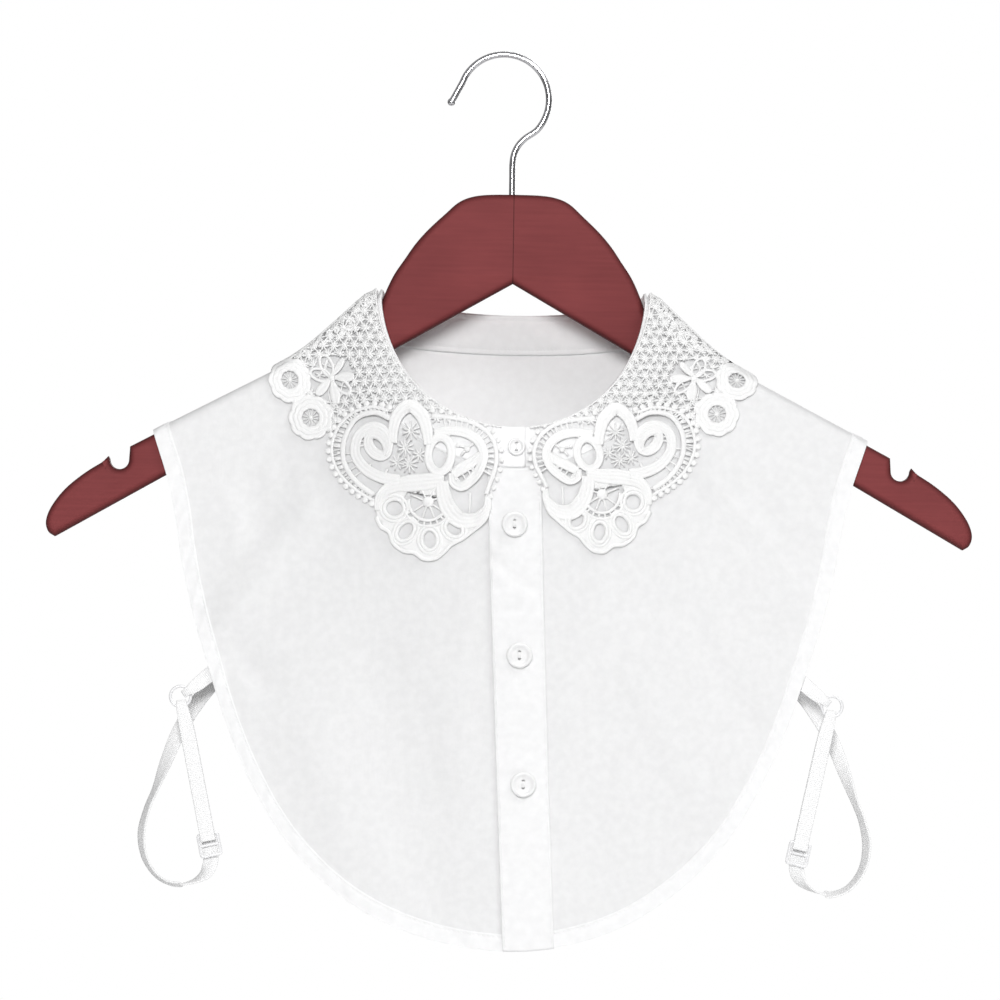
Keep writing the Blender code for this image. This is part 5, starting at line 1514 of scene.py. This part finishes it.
def build_straps(band, hard, thread_paint):
    for side, hand in (("left", -1), ("right", 1)):
        a = np.linspace(0.0, math.tau, 56, endpoint=False)
        circle = np.stack([hand * RING_X + RING_MEAN * np.cos(a), np.full(56, RING_Y),
                           RING_Z + RING_MEAN * np.sin(a)], axis=1)
        ring = tube(f"strap_ring_{side}_wire", circle, RING_WIRE, hard, closed=True)
        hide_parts(f"strap_ring_{side}")
        half_wide = 0.5 * SLIDER["wide"] - 0.7
        half_high = 0.5 * SLIDER["high"] - 0.8
        frame_path = even_path(np.array([(half_wide * sx * u, half_high * sz * v) for sx, sz, u, v in (
            (1, 1, 1, 0.0), (1, 1, 1, 0.8), (1, 1, 0.86, 1), (1, 1, 0.0, 1), (-1, 1, 0.86, 1), (-1, 1, 1, 0.8),
            (-1, 1, 1, 0.0), (-1, -1, 1, 0.8), (-1, -1, 0.86, 1), (1, -1, 0.0, 1), (1, -1, 0.86, 1),
            (1, -1, 1, 0.8))]), 0.7, closed=True)
        turn = math.radians(SLIDER["tilt"]) * hand
        bars = [(frame_path, True), (np.array([(-half_wide, 0.0), (0.0, 0.0), (half_wide, 0.0)]), False)]
        parts = []
        for k, (flat, closed) in enumerate(bars):
            x = flat[:, 0] * math.cos(turn) + flat[:, 1] * math.sin(turn) + hand * SLIDER["x"]
            z = -flat[:, 0] * math.sin(turn) + flat[:, 1] * math.cos(turn) + SLIDER["z"]
            path = np.stack([x, np.full(len(x), RING_Y), z], axis=1)
            parts.append(tube(f"strap_slider_{side}_bar_{k}", path, 0.65, hard, closed, squash=(0.75, 0.6)))
        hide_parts(f"strap_slider_{side}")
        for item in (ring, *parts):
            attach(item, "root")
        for piece, route in (("tab", TAB_ROUTE), ("loop", STRAP_ROUTE)):
            item, centre, wide, thick = ribbon(f"strap_{piece}_{side}_webbing", route, hand, 12, band)
            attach(item, "root")
            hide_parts(f"strap_{piece}_{side}")
            if piece == "tab":
                at = 10
                out = thick[at] if thick[at][1] < 0 else -thick[at]
                row = np.array([centre[at] + wide[at] * s + out * 0.5 * STRAP_THICK
                                for s in np.linspace(-3.2, 3.2, 14)])
                sewn = stitches(f"strap_tab_{side}_stitches", row, np.repeat(out[None, :], 14, axis=0),
                                thread_paint, 1.3, 0.16)
                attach(sewn, "root")


# Hanger

HANGER_THICK = 12.0
HANGER_ROUND = 3.4
HANGER_TOP_Z = -66.2
HANGER_APEX_Z = -109.1
STEM_X = 4.6
STEM_FOOT_Z = -75.0
HOOK_RADIUS = 21.7
HOOK_WIRE = 1.5
HOOK_TIP_RADIUS = 1.9
HOOK_MID_Z = -(HOOK_RADIUS - HOOK_WIRE)
HANGER_HALF = (
    # x from the middle, z below the hanger's top
    (0.0, 0.0), (13.0, -0.3), (21.0, -1.6), (27.0, -4.4), (33.0, -9.8), (41.0, -17.4),
    (47.0, -24.3), (52.0, -31.6), (57.5, -40.0), (62.0, -50.0), (65.0, -58.8), (69.0, -66.4),
    (76.0, -70.4),
)
ARM = dict(x=74.0, z=-133.4, fall=0.52)
ARM_TOP_X = (84.0, 100.0, 130.0, 160.0)
NOTCH = dict(x=188.0, lips=4.6, depth=8.6)
ARM_END = (
    # x from the middle, z below the hanger's top
    (196.0, -131.6), (205.0, -137.4), (214.0, -145.0), (220.5, -153.6), (223.0, -160.6),
    (221.8, -165.6), (218.6, -167.9),
)
BORE_DEPTH = 24.0


def arm_top(x):
    return ARM["z"] - ARM["fall"] * (x - ARM["x"])


def hanger_half_outline():
    """Upper edge from the middle outward and round the end, every curve rounded."""
    shoulder = [(x, HANGER_TOP_Z + z) for x, z in HANGER_HALF] + [(ARM_TOP_X[0], arm_top(ARM_TOP_X[0]))]
    edge = [tuple(point) for point in curve_path(shoulder, 6)]
    edge += [(x, arm_top(x)) for x in ARM_TOP_X[1:]]
    mid, lips = NOTCH["x"], NOTCH["lips"]
    edge.append((mid - lips - 0.4, arm_top(mid - lips)))
    floor = arm_top(mid) - NOTCH["depth"] + lips
    for degrees in range(180, 361, 12):
        turn = math.radians(degrees)
        edge.append((mid + lips * math.cos(turn), floor + lips * math.sin(turn)))
    edge.append((mid + lips + 0.8, arm_top(mid + lips)))
    end = curve_path([(x, HANGER_TOP_Z + z) for x, z in ARM_END], 6)
    return edge + [tuple(point) for point in end]


def build_hanger(paint):
    half = hanger_half_outline()
    outline = half + [(0.0, HANGER_APEX_Z)] + [(-x, z) for x, z in reversed(half[1:])]
    curve = bpy.data.curves.new("board_outline", "CURVE")
    curve.dimensions = "2D"
    curve.fill_mode = "BOTH"
    curve.extrude = (0.5 * HANGER_THICK - HANGER_ROUND) * MM
    curve.bevel_depth = HANGER_ROUND * MM
    curve.bevel_resolution = 5
    curve.offset = -HANGER_ROUND * MM
    spline = curve.splines.new("POLY")
    spline.points.add(len(outline) - 1)
    for place, (x, z) in zip(spline.points, outline):
        place.co = (x * MM, z * MM, 0.0, 1.0)
    spline.use_cyclic_u = True
    item = bpy.data.objects.new("board_outline", curve)
    bpy.context.scene.collection.objects.link(item)
    bpy.context.view_layer.update()
    mesh = bpy.data.meshes.new_from_object(item.evaluated_get(bpy.context.evaluated_depsgraph_get()))
    bpy.data.objects.remove(item, do_unlink=True)
    bm = bmesh.new()
    bm.from_mesh(mesh)
    bmesh.ops.remove_doubles(bm, verts=bm.verts, dist=1e-5)
    bm.verts.ensure_lookup_table()
    points = [(v.co.x / MM, -v.co.z / MM, v.co.y / MM) for v in bm.verts]
    faces = [[v.index for v in face.verts] for face in bm.faces]
    bm.free()
    bpy.data.meshes.remove(mesh)
    board = new_object("hanger_board_wood", points, faces, [paint])
    wide = HOOK_WIRE + 0.3
    stem = [(0.0, STEM_FOOT_Z + BORE_DEPTH), (wide, STEM_FOOT_Z + BORE_DEPTH), (wide, STEM_FOOT_Z - 0.3),
            (0.0, STEM_FOOT_Z - 0.3)]
    bore_points, bore_faces = turned(stem, 32)
    bore_points = [(x + STEM_X - CENTRE_X, y, z) for x, y, z in bore_points]
    cut_out(board, [new_object("stem_bore", bore_points, bore_faces, [paint])])
    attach(board, "root")
    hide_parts("hanger_board")
    return board


HOOK_TIP = ((-25.3, -21.8), (-23.4, -18.4))
HOOK_BEND = ((10.4, -38.9), (7.2, -42.4), (5.3, -46.4), (STEM_X, -51.0), (STEM_X, -58.0),
             (STEM_X, -66.0), (STEM_X, STEM_FOOT_Z))


def build_hook(paint):
    turns = [math.radians(degrees) for degrees in range(160, -56, -12)]
    arc = [(HOOK_RADIUS * math.cos(a), HOOK_MID_Z + HOOK_RADIUS * math.sin(a)) for a in turns]
    flat = curve_path([*HOOK_TIP, *arc, *HOOK_BEND], 6)
    path = np.stack([flat[:, 0] - CENTRE_X, np.zeros(len(flat)), flat[:, 1]], axis=1)
    wire = tube("hanger_hook_wire", path, HOOK_WIRE, paint, sides=24)
    levels = [(0.0, 1.0)] + [(math.sin(a), math.cos(a)) for a in np.linspace(0.15, math.pi - 0.15, 18)]
    profile = [(HOOK_TIP_RADIUS * r, HOOK_TIP_RADIUS * h) for r, h in levels + [(0.0, -1.0)]]
    points, faces = turned(profile, 32)
    shift = np.array([HOOK_TIP[0][0] - CENTRE_X, 0.0, HOOK_TIP[0][1]])
    ball = new_object("hanger_hook_ball", np.array(points) + shift, faces, [paint])
    for item in (wire, ball):
        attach(item, "root")
    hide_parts("hanger_hook")
    return wire


def build_object():
    cotton = cotton_paint("white cotton", 0.815)
    doubled = cotton_paint("white cotton, doubled", 0.895)
    layered = cotton_paint("white cotton, interlined", 0.885)
    lace = lace_paint()
    pearl = plastic_paint("white button", (0.86, 0.86, 0.86), 0.32)
    fitting = plastic_paint("white coated fitting", (0.86, 0.86, 0.87), 0.28)
    thread = Paint("sewing thread", (0.88, 0.88, 0.88), 0.8)
    grain = thread.noise(thread.coordinates(), 2600.0)
    thread.tint(grain, 0.3, 0.7, (0.82, 0.82, 0.82), (0.88, 0.88, 0.88))
    thread.bump(grain, 0.00003)
    elastic = elastic_paint()
    wood = wood_paint("dark cherry wood", (0.172, 0.036, 0.038), (0.232, 0.05, 0.052), 0.6)
    chrome = chrome_paint()
    build_hanger(wood)
    build_hook(chrome)
    fronts = build_fronts(cotton, doubled)
    # Painted light: the back panel's cotton is made far lighter than the fronts' so that its inside, seen through
    # the neck, looks lit.
    back = build_back(cotton_paint("white cotton, back, painted lighter", 0.97), doubled)
    placket = build_placket(layered)
    # The collar stand is doubled cloth, and its tone is raised further as painted light so that the inside of the
    # neck looks lit.
    stand = build_stand(cotton_paint("white cotton, collar stand, doubled and painted lighter", 0.98))
    leaves = build_lace(lace)
    build_buttons(pearl, thread.material)
    build_straps(elastic, fitting, thread.material)
    return fronts, back, placket, stand, leaves


# Studio

FLOOR_Z = -0.62
VIEW_X = 0.0011
VIEW_Z = -0.2133
VIEW_FAR = 2.678
LENS = 200.0
ROLL = 0.9
WORLD_SHINE = 0.34
WORLD_RAMP = (
    # share from straight down to straight up, level
    (0.0, 0.85), (0.42, 0.6), (0.5, 0.42), (0.6, 0.9), (1.0, 1.0),
)
LAMPS = (
    # name, place, size, watts
    ("key", (1.4, -1.4, 1.5), (1.2, 1.2), 17.0),
    ("fill", (-0.1, -2.45, 0.4), (0.6, 0.6), 37.5),
    ("rear", (0.5, 2.4, 0.5), (1.2, 1.2), 26.0),
)


def area_light(name, place, size, power, aim=(0.0, 0.0, -0.24)):
    data = bpy.data.lights.new(name, "AREA")
    data.shape = "RECTANGLE"
    data.size, data.size_y = size
    data.energy = power
    lamp = bpy.data.objects.new(name, data)
    bpy.context.scene.collection.objects.link(lamp)
    lamp.location = place
    lamp.rotation_euler = (Vector(aim) - Vector(place)).to_track_quat("-Z", "Y").to_euler()
    return lamp


def build_studio():
    scene = bpy.context.scene
    scene.view_settings.view_transform = "Standard"
    world = bpy.data.worlds.new("studio")
    world.use_nodes = True
    scene.world = world
    tree = world.node_tree
    output = tree.nodes["World Output"]
    seen = tree.nodes["Background"]
    seen.inputs["Color"].default_value = (1.0, 1.0, 1.0, 1.0)
    seen.inputs["Strength"].default_value = 1.0
    shine = tree.nodes.new("ShaderNodeBackground")
    shine.inputs["Strength"].default_value = WORLD_SHINE
    place = tree.nodes.new("ShaderNodeTexCoord")
    parts = tree.nodes.new("ShaderNodeSeparateXYZ")
    share = tree.nodes.new("ShaderNodeMapRange")
    share.inputs["From Min"].default_value = -1.0
    ramp = tree.nodes.new("ShaderNodeValToRGB")
    for spot, level in WORLD_RAMP:
        if spot not in (0.0, 1.0):
            ramp.color_ramp.elements.new(spot)
    for element, (spot, level) in zip(ramp.color_ramp.elements, WORLD_RAMP):
        element.position = spot
        element.color = (level, level, level, 1.0)
    light_path = tree.nodes.new("ShaderNodeLightPath")
    mix = tree.nodes.new("ShaderNodeMixShader")
    tree.links.new(place.outputs["Generated"], parts.inputs["Vector"])
    tree.links.new(parts.outputs["Z"], share.inputs["Value"])
    tree.links.new(share.outputs["Result"], ramp.inputs["Fac"])
    tree.links.new(ramp.outputs["Color"], shine.inputs["Color"])
    tree.links.new(light_path.outputs["Is Camera Ray"], mix.inputs["Fac"])
    tree.links.new(shine.outputs["Background"], mix.inputs[1])
    tree.links.new(seen.outputs["Background"], mix.inputs[2])
    tree.links.new(mix.outputs["Shader"], output.inputs["Surface"])
    ground = bpy.data.meshes.new("floor")
    bm = bmesh.new()
    bmesh.ops.create_circle(bm, cap_ends=True, segments=96, radius=1.2)
    bm.to_mesh(ground)
    bm.free()
    floor = bpy.data.objects.new("floor", ground)
    floor.location = (0.0, 0.0, FLOOR_Z)
    scene.collection.objects.link(floor)
    pale = Paint("pale floor", (0.9, 0.9, 0.9), 0.8)
    ground.materials.append(pale.material)
    for lamp in LAMPS:
        area_light(*lamp)
    camera = bpy.data.cameras.new("camera")
    camera.lens = LENS
    camera.sensor_width = 36.0
    camera.dof.use_dof = False
    eye = bpy.data.objects.new("camera", camera)
    scene.collection.objects.link(eye)
    eye.matrix_world = (Matrix.Translation((VIEW_X, -VIEW_FAR, VIEW_Z))
                        @ Matrix.Rotation(math.radians(90.0), 4, "X")
                        @ Matrix.Rotation(math.radians(ROLL), 4, "Z"))
    scene.camera = eye


list(build_object())
build_studio()
